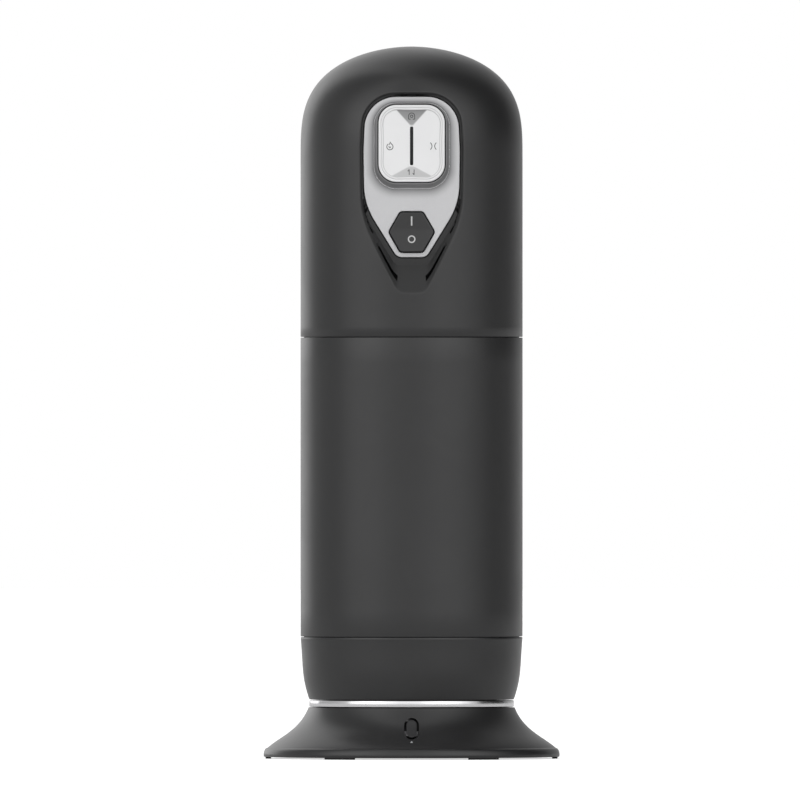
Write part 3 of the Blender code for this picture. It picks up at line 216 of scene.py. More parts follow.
class Ring:
    """A closed loop of edges that is extruded from ring to ring."""

    def __init__(self, bm: bmesh.types.BMesh, verts: list, edges: list) -> None:
        """Numbers the loop's vertices in order, so that each new ring keeps their places."""
        self.bm, self.edges = bm, edges
        self.place = bm.verts.layers.int[PLACE]
        for i, vert in enumerate(verts):
            vert[self.place] = i

    @classmethod
    def drawn(cls, bm: bmesh.types.BMesh, points: list[Vector]) -> "Ring":
        """Draws a new closed loop through the points."""
        verts = [bm.verts.new(point) for point in points]
        edges = [bm.edges.new((verts[i - 1], verts[i])) for i in range(len(verts))]
        return cls(bm, verts, edges)

    def step(self, points: list[Vector], painted_shade: float = 0.0) -> "Ring":
        """Extrudes the loop to new places.

        Args:
            points: where each vertex of the new loop goes.
            painted_shade: the painted shade given to the new loop, which darkens its colour.

        Returns:
            This ring, now at the new loop.
        """
        made = bmesh.ops.extrude_edge_only(self.bm, edges=self.edges)["geom"]
        self.edges = [e for e in made if isinstance(e, bmesh.types.BMEdge) and e.is_boundary]
        shade = self.bm.verts.layers.float[PAINTED_SHADE]
        for vert in (v for v in made if isinstance(v, bmesh.types.BMVert)):
            vert.co = points[vert[self.place]]
            vert[shade] = painted_shade
        return self

    def cap(self) -> None:
        """Closes the loop with one face."""
        bmesh.ops.contextual_create(self.bm, geom=self.edges)


def lofted(rings: list[list[Vector]], capped: bool = True) -> bmesh.types.BMesh:
    """A body that passes through rings of points with equal counts.

    Args:
        rings: the rings, from one end to the other.
        capped: True to close both ends, False to join the last ring to the first.

    Returns:
        The body.
    """
    bm = new_mesh()
    ring = Ring.drawn(bm, rings[0])
    first = ring.edges
    if capped:
        ring.cap()
    for points in rings[1:]:
        ring.step(points)
    if capped:
        ring.cap()
    else:
        bmesh.ops.bridge_loops(bm, edges=first + ring.edges)
    return bm


def spun(bm: bmesh.types.BMesh, profile: list[Point], steps: int, centre: Point = (0.0, 0.0),
         closed: bool = False) -> bmesh.types.BMesh:
    """Spins a profile of (radius, height) points round an upright axis.

    Args:
        bm: the mesh that takes the new faces.
        profile: the points.
        steps: facets round the circle.
        centre: where the axis stands.
        closed: True to join the last point to the first.

    Returns:
        The same mesh.
    """
    verts = [bm.verts.new((radius, 0.0, height)) for radius, height in profile]
    edges = [bm.edges.new(pair) for pair in zip(verts, verts[1:])]
    if closed:
        edges.append(bm.edges.new((verts[-1], verts[0])))
    before = set(bm.verts) - set(verts)
    bmesh.ops.spin(bm, geom=verts + edges, cent=(0, 0, 0), axis=(0, 0, 1), dvec=(0, 0, 0), angle=2 * math.pi,
                   steps=steps, use_merge=True, use_duplicate=False)
    made = [v for v in bm.verts if v not in before]
    bmesh.ops.translate(bm, verts=made, vec=(*centre, 0.0))
    return bm


def strip(path: list[Point], width: float, surface: SurfaceY, lift: float,
          thickness: float) -> bmesh.types.BMesh:
    """A thin printed line that follows a surface.

    Args:
        path: the line's points in the XZ plane; a path that ends where it starts is closed.
        width: its width.
        surface: gives the surface's y at (x, z).
        lift: how far it stands off the surface.
        thickness: how thick it is.

    Returns:
        The line's mesh.
    """
    bm = new_mesh()
    closed = (Vector(path[0]) - Vector(path[-1])).length < 1e-7
    sides = []
    for i, point in enumerate(path):
        after = path[(i + 1) % len(path)] if i + 1 < len(path) else (path[1] if closed else point)
        before = path[i - 1] if i else (path[-2] if closed else point)
        run = (Vector(after) - Vector(before)).normalized()
        across = Vector((-run.y, run.x)) * width / 2
        ends = [Vector(point) + across, Vector(point) - across]
        sides.append([Vector((e.x, surface(e.x, e.y) - lift, e.y)) for e in ends])
    edge = bm.edges.new([bm.verts.new(p) for p in sides[0]])
    for left, right in sides[1:]:
        heads = list(edge.verts)
        made = bmesh.ops.extrude_edge_only(bm, edges=[edge])["geom"]
        edge = next(e for e in made if isinstance(e, bmesh.types.BMEdge) and not set(e.verts) & set(heads))
        near = sorted(edge.verts, key=lambda v: (v.co - heads[0].co).length)
        near[0].co, near[1].co = left, right
    bmesh.ops.remove_doubles(bm, verts=bm.verts, dist=1e-7)
    bmesh.ops.recalc_face_normals(bm, faces=bm.faces)
    bmesh.ops.solidify(bm, geom=bm.faces[:], thickness=thickness)
    return bm


def merged(parts: list[bmesh.types.BMesh]) -> bmesh.types.BMesh:
    """Puts several meshes into one, and frees them."""
    whole = new_mesh()
    for part in parts:
        mesh = bpy.data.meshes.new("part")
        part.to_mesh(mesh)
        part.free()
        whole.from_mesh(mesh)
        bpy.data.meshes.remove(mesh)
    return whole


def add_piece(name: str, bm: bmesh.types.BMesh, material: bpy.types.Material, body: str,
              replaces: tuple[str, ...] = (), sharp: float = 38.0) -> bpy.types.Object:
    """Makes a finished piece that rides on a body.

    Args:
        name: the piece's name.
        bm: its mesh, already in place; it is freed.
        material: its finish.
        body: the body that it rides on.
        replaces: the frame's nodes that it stands for.
        sharp: edges that turn more than this, in degrees, stay crisp.

    Returns:
        The piece.
    """
    bmesh.ops.remove_doubles(bm, verts=bm.verts, dist=2e-7)
    bmesh.ops.dissolve_degenerate(bm, edges=bm.edges, dist=1e-7)
    bmesh.ops.recalc_face_normals(bm, faces=bm.faces)
    mesh = bpy.data.meshes.new(name)
    bm.to_mesh(mesh)
    bm.free()
    mesh.shade_smooth()
    mesh.set_sharp_from_angle(angle=math.radians(sharp))
    mesh.materials.append(material)
    obj = bpy.data.objects.new(name, mesh)
    bpy.context.scene.collection.objects.link(obj)
    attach(obj, body)
    if replaces:
        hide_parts(*replaces)
    LOG.info("%s: %d faces, rides on %s", name, len(mesh.polygons), body)
    return obj


@dataclass
class TurnedSide:
    """The side of a turned shell: a radius for each height."""

    points: list[Point]

    def __post_init__(self) -> None:
        """Sorts the points by height."""
        self.points = sorted(self.points, key=lambda p: p[1])
        self.heights = [p[1] for p in self.points]

    def radius(self, z: float) -> float:
        """The shell's radius at a height."""
        i = min(max(bisect.bisect(self.heights, z), 1), len(self.points) - 1)
        (r0, z0), (r1, z1) = self.points[i - 1], self.points[i]
        share = min(max((z - z0) / (z1 - z0), 0.0), 1.0) if z1 > z0 else 0.0
        return r0 + (r1 - r0) * share

    def depth(self, x: float, z: float, facing: Facing) -> float:
        """The y of the shell at (x, z), on its front or its back."""
        return facing.value * math.sqrt(max(self.radius(z) ** 2 - x * x, 0.0))


class Opening:
    """A window in a turned shell, from a patch of removed faces inwards."""

    def __init__(self, bm: bmesh.types.BMesh, side: TurnedSide, facing: Facing, centre: Point,
                 half_turn: float, low: float, high: float, pitch: float) -> None:
        """Removes the faces of the patch and draws its rim finely.

        Args:
            bm: the shell.
            side: the shell's side that the patch lies in.
            facing: front or back.
            centre: the point that the window is seen from.
            half_turn: half the patch's width as an angle round the axis.
            low: the patch's lowest height.
            high: its highest height.
            pitch: the longest edge that the rim may have.
        """
        self.bm, self.side, self.facing, self.centre = bm, side, facing, centre
        slack, rim_margin, rise_per_turn = 0.3 * MM, 0.06, 0.05

        def inside(point: Vector, margin: float) -> bool:
            """Whether a point lies on this side and in the patch, give or take a margin."""
            turn = abs(math.atan2(point.x, point.y * facing.value))
            near = abs(math.hypot(point.x, point.y) - side.radius(point.z)) < slack
            rise = margin * rise_per_turn
            return near and turn < half_turn + margin and -rise < point.z - low < high - low + rise

        faces = [f for f in bm.faces if inside(f.calc_center_median(), 0.0)]
        bmesh.ops.delete(bm, geom=faces, context="FACES")

        def rim() -> list[bmesh.types.BMEdge]:
            """The edges round the patch."""
            return [e for e in bm.edges if e.is_boundary and all(inside(v.co, rim_margin) for v in e.verts)]

        for cuts in sorted({math.ceil(e.calc_length() / pitch) - 1 for e in rim()}, reverse=True):
            group = [e for e in rim() if math.ceil(e.calc_length() / pitch) - 1 == cuts]
            if cuts > 0:
                bmesh.ops.subdivide_edges(bm, edges=group, cuts=cuts)
        edges = rim()
        verts = {v for e in edges for v in e.verts}
        for vert in verts:
            vert.co.y = side.depth(vert.co.x, vert.co.z, facing)
        ordered = sorted(verts, key=lambda v: math.atan2(v.co.z - centre[1], v.co.x - centre[0]))
        self.angles = [math.atan2(v.co.z - centre[1], v.co.x - centre[0]) for v in ordered]
        self.reaches = [math.hypot(v.co.x - centre[0], v.co.z - centre[1]) for v in ordered]
        self.ring = Ring(bm, ordered, edges)

    def point(self, i: int, reach: float, y: float | None = None) -> Vector:
        """A point in direction i, on the shell unless a y is given."""
        x = self.centre[0] + reach * math.cos(self.angles[i])
        z = self.centre[1] + reach * math.sin(self.angles[i])
        return Vector((x, self.side.depth(x, z, self.facing) if y is None else y, z))

    def carry(self, reaches: list[float], rings: int) -> None:
        """Carries the shell's own surface inwards to new reaches, in `rings` steps."""
        for k in range(1, rings + 1):
            t = smooth_step(k / rings) * 0.35 + k / rings * 0.65
            self.ring.step([self.point(i, a + (b - a) * t)
                            for i, (a, b) in enumerate(zip(self.reaches, reaches))])
        self.reaches = reaches

    def lip(self, start: list[Vector], corner: list[Vector], end: list[Vector], rings: int,
            painted_shade: float = 0.0) -> None:
        """Rounds the edge between the shell and the wall that goes in, rising to a painted shade that darkens
        the recess.
        """
        for k in range(1, rings + 1):
            t = k / rings
            self.ring.step([a.lerp(b, t).lerp(b.lerp(c, t), t) for a, b, c in zip(start, corner, end)],
                           painted_shade * smooth_step(2.2 * t - 0.4))


def through_hole(bm: bmesh.types.BMesh, outer: TurnedSide, inner: TurnedSide, facing: Facing,
                 outline: list[Point],
                 centre: Point, patch: tuple[float, float, float], edge: float, pitch: float) -> None:
    """Cuts a window through a turned shell's wall, with a rounded outer edge.

    Args:
        bm: the shell.
        outer: its outer side.
        inner: its inner side.
        facing: front or back.
        outline: the window.
        centre: a point inside the window.
        patch: half angle, lowest and highest height of the faces taken away round it.
        edge: size of the rounding.
        pitch: longest edge round the window.
    """
    star = Star(outline, centre)
    outside = Opening(bm, outer, facing, centre, *patch, pitch)
    reaches = [star.reach(a) for a in outside.angles]
    outside.carry([r + edge for r in reaches], 4)
    count = range(len(reaches))
    start = [outside.point(i, reaches[i] + edge) for i in count]
    corner = [outside.point(i, reaches[i]) for i in count]
    sunk = [c - Vector((0, facing.value * edge, 0)) for c in corner]
    outside.lip(start, corner, sunk, 4)
    inside = Opening(bm, inner, facing, centre, *patch, pitch)
    inside.carry([star.reach(a) for a in inside.angles], 3)
    bmesh.ops.bridge_loops(bm, edges=outside.ring.edges + inside.ring.edges)


# Finishes


class Pattern(Enum):
    """Extra pattern of a finish."""

    NONE = "none"
    BRUSHED = "brushed"
    TRACES = "traces"
    BANDS = "bands"
    FLAKES = "flakes"


def make_group(name: str, inputs: dict[str, tuple[str, object]],
               outputs: dict[str, str]) -> bpy.types.NodeTree:
    """A shader group with named sockets.

    Args:
        name: the group's name.
        inputs: socket name to its type and default value.
        outputs: socket name to its type.

    Returns:
        The group, holding only its input and output nodes.
    """
    group = bpy.data.node_groups.new(name, "ShaderNodeTree")
    for label, (kind, value) in inputs.items():
        socket = group.interface.new_socket(label, in_out="INPUT", socket_type=kind)
        if value is not None:
            socket.default_value = value
    for label, kind in outputs.items():
        group.interface.new_socket(label, in_out="OUTPUT", socket_type=kind)
    group.nodes.new("NodeGroupInput").name = "in"
    group.nodes.new("NodeGroupOutput").name = "out"
    return group


def grain_group() -> bpy.types.NodeTree:
    """Moulded grain: fine bumps with a slower swell under them."""
    group = make_group("moulded_grain", {"Vector": ("NodeSocketVector", None),
                                         "Scale": ("NodeSocketFloat", 1500.0)},
                       {"Height": "NodeSocketFloat", "Speck": "NodeSocketFloat"})
    nodes, links = group.nodes, group.links
    fine = nodes.new("ShaderNodeTexNoise")
    fine.inputs["Detail"].default_value = 3.0
    cells = nodes.new("ShaderNodeTexVoronoi")
    blend = nodes.new("ShaderNodeMix")
    blend.inputs[0].default_value = 0.45
    links.new(nodes["in"].outputs["Vector"], fine.inputs["Vector"])
    links.new(nodes["in"].outputs["Vector"], cells.inputs["Vector"])
    links.new(nodes["in"].outputs["Scale"], fine.inputs["Scale"])
    links.new(nodes["in"].outputs["Scale"], cells.inputs["Scale"])
    links.new(fine.outputs["Fac"], blend.inputs[2])
    links.new(cells.outputs["Distance"], blend.inputs[3])
    links.new(blend.outputs[0], nodes["out"].inputs["Height"])
    links.new(cells.outputs["Distance"], nodes["out"].inputs["Speck"])
    return group


def handling_group() -> bpy.types.NodeTree:
    """Handling marks: broad soft smears and finer rubs, as one mask."""
    group = make_group("handling_marks", {"Vector": ("NodeSocketVector", None),
                                          "Scale": ("NodeSocketFloat", 30.0),
                                          "Contrast": ("NodeSocketFloat", 1.0)}, {"Mask": "NodeSocketFloat"})
    nodes, links = group.nodes, group.links
    broad = nodes.new("ShaderNodeTexNoise")
    broad.inputs["Detail"].default_value = 6.0
    broad.inputs["Roughness"].default_value = 0.62
    broad.inputs["Distortion"].default_value = 0.8
    spread = nodes.new("ShaderNodeMapRange")
    spread.interpolation_type = "SMOOTHSTEP"
    spread.inputs["From Min"].default_value = 0.38
    spread.inputs["From Max"].default_value = 0.66
    scaled = nodes.new("ShaderNodeMath")
    scaled.operation = "MULTIPLY"
    links.new(nodes["in"].outputs["Vector"], broad.inputs["Vector"])
    links.new(nodes["in"].outputs["Scale"], broad.inputs["Scale"])
    links.new(broad.outputs["Fac"], spread.inputs["Value"])
    links.new(spread.outputs["Result"], scaled.inputs[0])
    links.new(nodes["in"].outputs["Contrast"], scaled.inputs[1])
    links.new(scaled.outputs["Value"], nodes["out"].inputs["Mask"])
    return group


@dataclass(frozen=True)
class Finish:
    """One material's look.

    Colours are linear. `spread` is how much darker the marks make the colour, `scuff` how much rougher.
    """

    name: str
    colour: tuple[float, float, float]
    roughness: float
    metallic: float = 0.0
    grain_scale: float = 1500.0
    grain_depth: float = 0.05
    marks_scale: float = 30.0
    spread: float = 0.12
    scuff: float = 0.06
    coat: float = 0.0
    coat_roughness: float = 0.1
    specular: float = 0.5
    # colour and roughness of painted shade, laid on where the painted shade vertex attribute is set
    painted_shade_colour: tuple[float, float, float] | None = None
    painted_shade_roughness: float | None = None
    pattern: Pattern = Pattern.NONE
    pattern_colour: tuple[float, float, float] = (0.5, 0.5, 0.5)
    pattern_scale: float = 400.0

    def build(self, grain: bpy.types.NodeTree, handling: bpy.types.NodeTree) -> bpy.types.Material:
        """Builds the material.

        Args:
            grain: the moulded grain group.
            handling: the handling marks group.

        Returns:
            The material.
        """
        material = bpy.data.materials.new(self.name)
        material.use_nodes = True
        nodes, links = material.node_tree.nodes, material.node_tree.links
        shader = nodes["Principled BSDF"]
        shader.inputs["Metallic"].default_value = self.metallic
        shader.inputs["Coat Weight"].default_value = self.coat
        shader.inputs["Coat Roughness"].default_value = self.coat_roughness
        shader.inputs["Specular IOR Level"].default_value = self.specular
        place = nodes.new("ShaderNodeTexCoord").outputs["Object"]
        mapping = nodes.new("ShaderNodeMapping")
        links.new(place, mapping.inputs["Vector"])
        where = mapping.outputs["Vector"]

        grain_node = nodes.new("ShaderNodeGroup")
        grain_node.node_tree = grain
        grain_node.inputs["Scale"].default_value = self.grain_scale
        marks = nodes.new("ShaderNodeGroup")
        marks.node_tree = handling
        marks.inputs["Scale"].default_value = self.marks_scale
        links.new(where, grain_node.inputs["Vector"])
        links.new(where, marks.inputs["Vector"])

        colour = nodes.new("ShaderNodeMix")
        colour.data_type = "RGBA"
        colour.inputs[6].default_value = (*self.colour, 1.0)
        colour.inputs[7].default_value = (*(c * (1 - self.spread) for c in self.colour), 1.0)
        links.new(marks.outputs["Mask"], colour.inputs[0])
        result = self._patterned(nodes, links, place, colour.outputs[2])
        # painted shade: the vertex attribute mixes the colour towards the painted shade colour
        if self.painted_shade_colour:
            painted_shade = nodes.new("ShaderNodeAttribute")
            painted_shade.attribute_name = PAINTED_SHADE
            painted_shade_mix = nodes.new("ShaderNodeMix")
            painted_shade_mix.data_type = "RGBA"
            painted_shade_mix.inputs[7].default_value = (*self.painted_shade_colour, 1.0)
            links.new(painted_shade.outputs["Fac"], painted_shade_mix.inputs[0])
            links.new(result, painted_shade_mix.inputs[6])
            result = painted_shade_mix.outputs[2]
        links.new(result, shader.inputs["Base Color"])

        rough = nodes.new("ShaderNodeMapRange")
        rough.inputs["To Min"].default_value = self.roughness
        rough.inputs["To Max"].default_value = min(self.roughness + self.scuff, 1.0)
        links.new(marks.outputs["Mask"], rough.inputs["Value"])
        roughness = rough.outputs["Result"]
        # the painted shade also raises the roughness
        if self.painted_shade_roughness:
            painted_shade_rough_mix = nodes.new("ShaderNodeMix")
            painted_shade_rough_mix.inputs[3].default_value = self.painted_shade_roughness
            links.new(painted_shade.outputs["Fac"], painted_shade_rough_mix.inputs[0])
            links.new(roughness, painted_shade_rough_mix.inputs[2])
            roughness = painted_shade_rough_mix.outputs[0]
        links.new(roughness, shader.inputs["Roughness"])

        bump = nodes.new("ShaderNodeBump")
        bump.inputs["Strength"].default_value = self.grain_depth
        bump.inputs["Distance"].default_value = 0.1 * MM
        height = grain_node.outputs["Height"]
        if self.pattern is Pattern.BRUSHED:
            mapping.inputs["Scale"].default_value = (0.06, 0.06, 2.5)
        links.new(height, bump.inputs["Height"])
        links.new(bump.outputs["Normal"], shader.inputs["Normal"])
        return material

    def _patterned(self, nodes: bpy.types.Nodes, links: bpy.types.NodeLinks, place: bpy.types.NodeSocket,
                   colour: bpy.types.NodeSocket) -> bpy.types.NodeSocket:
        """Lays the finish's pattern over its colour.

        Args:
            nodes: the material's nodes.
            links: the material's links.
            place: the object coordinates.
            colour: the colour under the pattern.

        Returns:
            The colour to use.
        """
        if self.pattern in (Pattern.NONE, Pattern.BRUSHED):
            return colour
        mask = nodes.new("ShaderNodeMapRange")
        if self.pattern is Pattern.TRACES:
            texture = nodes.new("ShaderNodeTexBrick")
            texture.inputs["Scale"].default_value = self.pattern_scale
            texture.inputs["Mortar Size"].default_value = 0.03
            turned = nodes.new("ShaderNodeMapping")
            turned.inputs["Rotation"].default_value = (math.pi / 2, 0.0, 0.0)
            links.new(place, turned.inputs["Vector"])
            links.new(turned.outputs["Vector"], texture.inputs["Vector"])
            links.new(texture.outputs["Fac"], mask.inputs["Value"])
        elif self.pattern is Pattern.BANDS:
            texture = nodes.new("ShaderNodeTexWave")
            texture.bands_direction = "Z"
            texture.inputs["Scale"].default_value = self.pattern_scale
            links.new(place, texture.inputs["Vector"])
            mask.inputs["From Min"].default_value = 0.80
            mask.inputs["From Max"].default_value = 0.86
            links.new(texture.outputs["Fac"], mask.inputs["Value"])
        else:
            texture = nodes.new("ShaderNodeTexVoronoi")
            texture.inputs["Scale"].default_value = self.pattern_scale
            links.new(place, texture.inputs["Vector"])
            spot = nodes.new("ShaderNodeSeparateColor")
            links.new(texture.outputs["Color"], spot.inputs["Color"])
            mask.inputs["From Min"].default_value = 0.55
            mask.inputs["To Max"].default_value = 0.35
            links.new(spot.outputs["Red"], mask.inputs["Value"])
        over = nodes.new("ShaderNodeMix")
        over.data_type = "RGBA"
        over.inputs[7].default_value = (*self.pattern_colour, 1.0)
        links.new(mask.outputs["Result"], over.inputs[0])
        links.new(colour, over.inputs[6])
        return over.outputs[2]


FINISHES = (
    Finish("shell", (0.019, 0.019, 0.0195), 0.30, grain_scale=2600.0, grain_depth=0.035, spread=0.10,
           scuff=0.03,
           # painted shade on the control recess's lip, walls and floor margin: darker and rougher
           painted_shade_colour=(0.017, 0.017, 0.0173), painted_shade_roughness=0.62),
    Finish("matte", (0.022, 0.022, 0.023), 0.50, grain_scale=1900.0, grain_depth=0.08),
    Finish("trim", (0.74, 0.74, 0.75), 0.12, 1.0, pattern=Pattern.BRUSHED, grain_depth=0.02, scuff=0.05,
           spread=0.04),
    Finish("silver", (0.55, 0.55, 0.56), 0.30, 0.35, grain_scale=5200.0, grain_depth=0.03, spread=0.04,
           coat=0.25,
           pattern=Pattern.FLAKES, pattern_scale=9000.0, pattern_colour=(0.64, 0.64, 0.65),
           # painted shade round the pad's ring
           painted_shade_colour=(0.09, 0.09, 0.093)),
    Finish("pearl", (0.78, 0.78, 0.785), 0.30, 0.0, grain_scale=4200.0, grain_depth=0.015, spread=0.03,
           coat=0.4,
           pattern=Pattern.FLAKES, pattern_scale=12000.0, pattern_colour=(0.83, 0.83, 0.84),
           # painted shade in the step's grooves and on the dish's top and bottom facets
           painted_shade_colour=(0.10, 0.10, 0.102)),
    Finish("grey", (0.20, 0.20, 0.203), 0.34, 0.2, grain_scale=3600.0, grain_depth=0.03, coat=0.2),
    Finish("light", (0.006, 0.006, 0.0065), 0.38, grain_depth=0.01, specular=0.3),
    Finish("lens", (0.30, 0.31, 0.32), 0.18, coat=0.5, coat_roughness=0.04, grain_depth=0.01),
    Finish("steel", (0.48, 0.48, 0.49), 0.26, 1.0, pattern=Pattern.BRUSHED, grain_depth=0.06, scuff=0.12),
    Finish("rubber", (0.018, 0.018, 0.0185), 0.72, grain_scale=1400.0, grain_depth=0.16, spread=0.2,
           specular=0.35),
    Finish("silicone", (0.62, 0.61, 0.59), 0.46, grain_scale=2000.0, grain_depth=0.06, spread=0.05,
           scuff=0.08),
    Finish("nylon", (0.66, 0.65, 0.61), 0.44, grain_scale=2400.0, grain_depth=0.09, spread=0.06, scuff=0.08),
    Finish("brass", (0.74, 0.53, 0.22), 0.25, 1.0, grain_scale=2200.0, grain_depth=0.05, scuff=0.12),
    Finish("board", (0.012, 0.11, 0.045), 0.40, grain_scale=1200.0, grain_depth=0.06, pattern=Pattern.TRACES,
           pattern_scale=160.0, pattern_colour=(0.05, 0.27, 0.12)),
    Finish("cell", (0.03, 0.13, 0.26), 0.30, coat=0.5, grain_scale=1700.0, grain_depth=0.02,
           pattern=Pattern.BANDS,
           pattern_scale=22.0, pattern_colour=(0.55, 0.56, 0.58)),
    Finish("foil", (0.62, 0.30, 0.12), 0.34, 0.6, grain_scale=1500.0, grain_depth=0.05, pattern=Pattern.BANDS,
           pattern_scale=120.0, pattern_colour=(0.30, 0.13, 0.04)),
    Finish("ink", (0.06, 0.06, 0.062), 0.42, grain_scale=3000.0, grain_depth=0.03),
    Finish("white_ink", (0.52, 0.52, 0.52), 0.45, grain_scale=3000.0, grain_depth=0.03),
    # painted highlight: the thin bright line at the foot of the pad's ring
    Finish("painted_highlight_line", (0.74, 0.74, 0.75), 0.22, 0.5, grain_scale=3000.0, grain_depth=0.02),
)


class Palette:
    """Every finish, built once."""

    def __init__(self) -> None:
        """Builds the shared groups and then each material."""
        grain, handling = grain_group(), handling_group()
        self.materials = {finish.name: finish.build(grain, handling) for finish in FINISHES}

    def __getitem__(self, name: str) -> bpy.types.Material:
        """The material with that name."""
        return self.materials[name]


# Sub-assemblies


@dataclass
class Housing:
    """The shells that lift off the stand: collar, barrel and dome, with the control recess in the dome."""

    palette: Palette
    steps: int = 360
    wall: float = 2.4 * MM
    shoulder: float = 1.909
    crown: float = 3.234
    crown_rise: float = 45.1 * MM
    seam_edge: float = 0.18 * MM
    rebate: Point = (1.2 * MM, 1.8 * MM)
    floor_margin: tuple[float, ...] = (0.9 * MM, 0.9 * MM, 0.9 * MM, 2.2 * MM, 2.9 * MM)
    wall_draft: tuple[float, ...] = (0.29, 0.32, 0.32, 0.75, 1.68)
    plate_rounding: tuple[float, ...] = (13.0 * MM, 60.0 * MM, 28.0 * MM, 3.5 * MM)
    tub_wall: float = 2.0 * MM
    plate_gap: float = 0.4 * MM
    lip: float = 0.8 * MM

    def __post_init__(self) -> None:
        """Reads the shells' places from the frame."""
        low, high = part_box("dome_housing")
        self.low_z, self.top_z, self.radius = low.z, high.z, high.x
        self.crown_z = self.top_z - self.crown_rise
        plate_low, plate_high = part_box("control_plate")
        self.face_y, self.plate_back = plate_low.y, plate_high.y
        self.plate_half, self.plate_low, self.plate_high = plate_high.x, plate_low.z, plate_high.z
        self.face_z = self.plate_high - 21.9 * MM
        self.trim_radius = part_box("trim_ring")[1].x
        inlet_low, inlet_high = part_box("port_cover")
        self.inlet_z = (inlet_low.z + inlet_high.z) / 2
        self.inlet_half = (inlet_high.x, (inlet_high.z - inlet_low.z) / 2)

    def dome_rows(self, offset: float, straight: int, curved: int) -> list[Point]:
        """The dome's profile from its lower edge to its top, moved inwards by `offset`."""
        rows = [(self.radius - offset, self.low_z + (self.crown_z - self.low_z) * i / straight)
                for i in range(straight)]
        for i in range(curved + 1):
            turn = math.pi / 2 * (i / curved) ** 1.4
            across = max(math.cos(turn), 0.0) ** (2 / self.shoulder)
            up = math.sin(turn) ** (2 / self.crown)
            rows.append(((self.radius - offset) * across, self.crown_z + (self.crown_rise - offset) * up))
        rows[-1] = (0.0, self.top_z - offset)
        return rows

    def plate_corners(self) -> list[Point]:
        """The control plate's corners, clockwise from the top left."""
        right = [(self.plate_half - 0.9 * MM, self.plate_high), (self.plate_half, self.face_z),
                 (self.plate_half - 0.3 * MM, self.face_z - 21.5 * MM), (5.9 * MM, self.plate_low)]
        left = [(-x, z) for x, z in reversed(right)]
        return [left[-1]] + right + left[:-1]

    def face_outline(self, margins: tuple[float, ...], extra: float = 0.0, steps: int = 14) -> list[Point]:
        """The plate's outline grown by margins on its top, upper side, side, slant and bottom edges."""
        top, upper, side, slant, bottom = margins
        corners = grown(self.plate_corners(), [top, upper, side, slant, bottom, slant, side, upper])
        first, bow, shoulder, low = self.plate_rounding
        radii = [first, first, bow, shoulder, low, low, shoulder, bow]
        return rounded(corners, [radius + extra for radius in radii], steps)

    def recess_outline(self, depth: float, offset: float = 0.0) -> list[Point]:
        """The recess `depth` in front of its floor, grown by `offset`."""
        margins = tuple(m + d * depth + offset for m, d in zip(self.floor_margin, self.wall_draft))
        return self.face_outline(margins, offset)

    def sink_recess(self, opening: Opening, floor_y: float, offset: float, lip: float) -> list[Vector]:
        """Carries an opening in over its lip and down the recess wall to the floor's edge.

        Args:
            opening: the opening in the dome's outer or inner side.
            floor_y: the floor's y.
            offset: how much wider the recess is than the visible one.
            lip: size of the rounding at the lip.

        Returns:
            The floor's edge.
        """
        levels = 16
        step = 8.5 * MM / levels
        stars = [Star(self.recess_outline(step * k, offset), opening.centre) for k in range(levels + 1)]
        floor, lips, walls, shells, corners = [], [], [], [], []
        for i, angle in enumerate(opening.angles):
            way = [Vector((*opening.point(i, star.reach(angle), floor_y - step * k),)) for k,
                   star in enumerate(stars)]
            gap = [p.y - opening.side.depth(p.x, p.z, opening.facing) for p in way]
            k = next((n for n in range(levels) if gap[n + 1] <= 0), levels - 1)
            share = gap[k] / (gap[k] - gap[k + 1])
            corner = way[k].lerp(way[k + 1], share)
            reach = math.hypot(corner.x - opening.centre[0], corner.z - opening.centre[1])
            floor.append(way[0])
            size = min(lip, 0.45 * (corner - way[0]).length)
            lips.append(reach + size)
            corners.append(corner)
            shells.append(opening.point(i, reach + size))
            walls.append(corner + (way[0] - corner).normalized() * size)
        opening.carry(lips, 12)
        # painted shade: the lip, the wall and the floor's edge are darkened and roughened in full
        opening.lip(shells, corners, walls, 8, 1.0)
        for k, painted_shade in ((0.08, 1.0), (0.25, 1.0), (0.5, 1.0), (0.75, 1.0), (0.93, 1.0)):
            opening.ring.step([a.lerp(b, k) for a, b in zip(walls, floor)], painted_shade)
        inner = [f + (Vector((0.0, f.y, self.face_z)) - f).normalized() * 0.12 * MM for f in floor]
        opening.ring.step([f + (w - f).normalized() * 0.03 * MM for f, w in zip(floor, walls)], 1.0)
        opening.ring.step(inner, 1.0)
        return inner

    def build_dome(self) -> None:
        """The dome, its control recess and the inlet's window in its back."""
        outer_rows, inner_rows = self.dome_rows(0.0, 18, 64), self.dome_rows(self.wall, 12, 30)
        edge = self.seam_edge
        outer_rows = [(self.radius - edge, self.low_z), (self.radius - 0.3 * edge, self.low_z + 0.3 * edge),
                      (self.radius, self.low_z + edge)] + outer_rows[1:]
        step, rise = self.rebate
        inner_rows = [(self.radius - step, self.low_z), (self.radius - step, self.low_z + rise),
                      (self.radius - self.wall, self.low_z + rise + 0.2 * MM)] + inner_rows[1:]
        bm = spun(new_mesh(), outer_rows, self.steps)
        bm = spun(bm, inner_rows, self.steps // 3)
        rims = [e for e in bm.edges if e.is_valid and len(e.link_faces) == 1 and e.verts[0].co.z < self.low_z
                + 1e-6
                and e.verts[1].co.z < self.low_z + 1e-6]
        bmesh.ops.bridge_loops(bm, edges=rims)
        bmesh.ops.remove_doubles(bm, verts=bm.verts, dist=1e-6)
        outer = TurnedSide(self.dome_rows(0.0, 2, 400))
        inner = TurnedSide(self.dome_rows(self.wall, 2, 400))
        centre = (0.0, self.face_z)

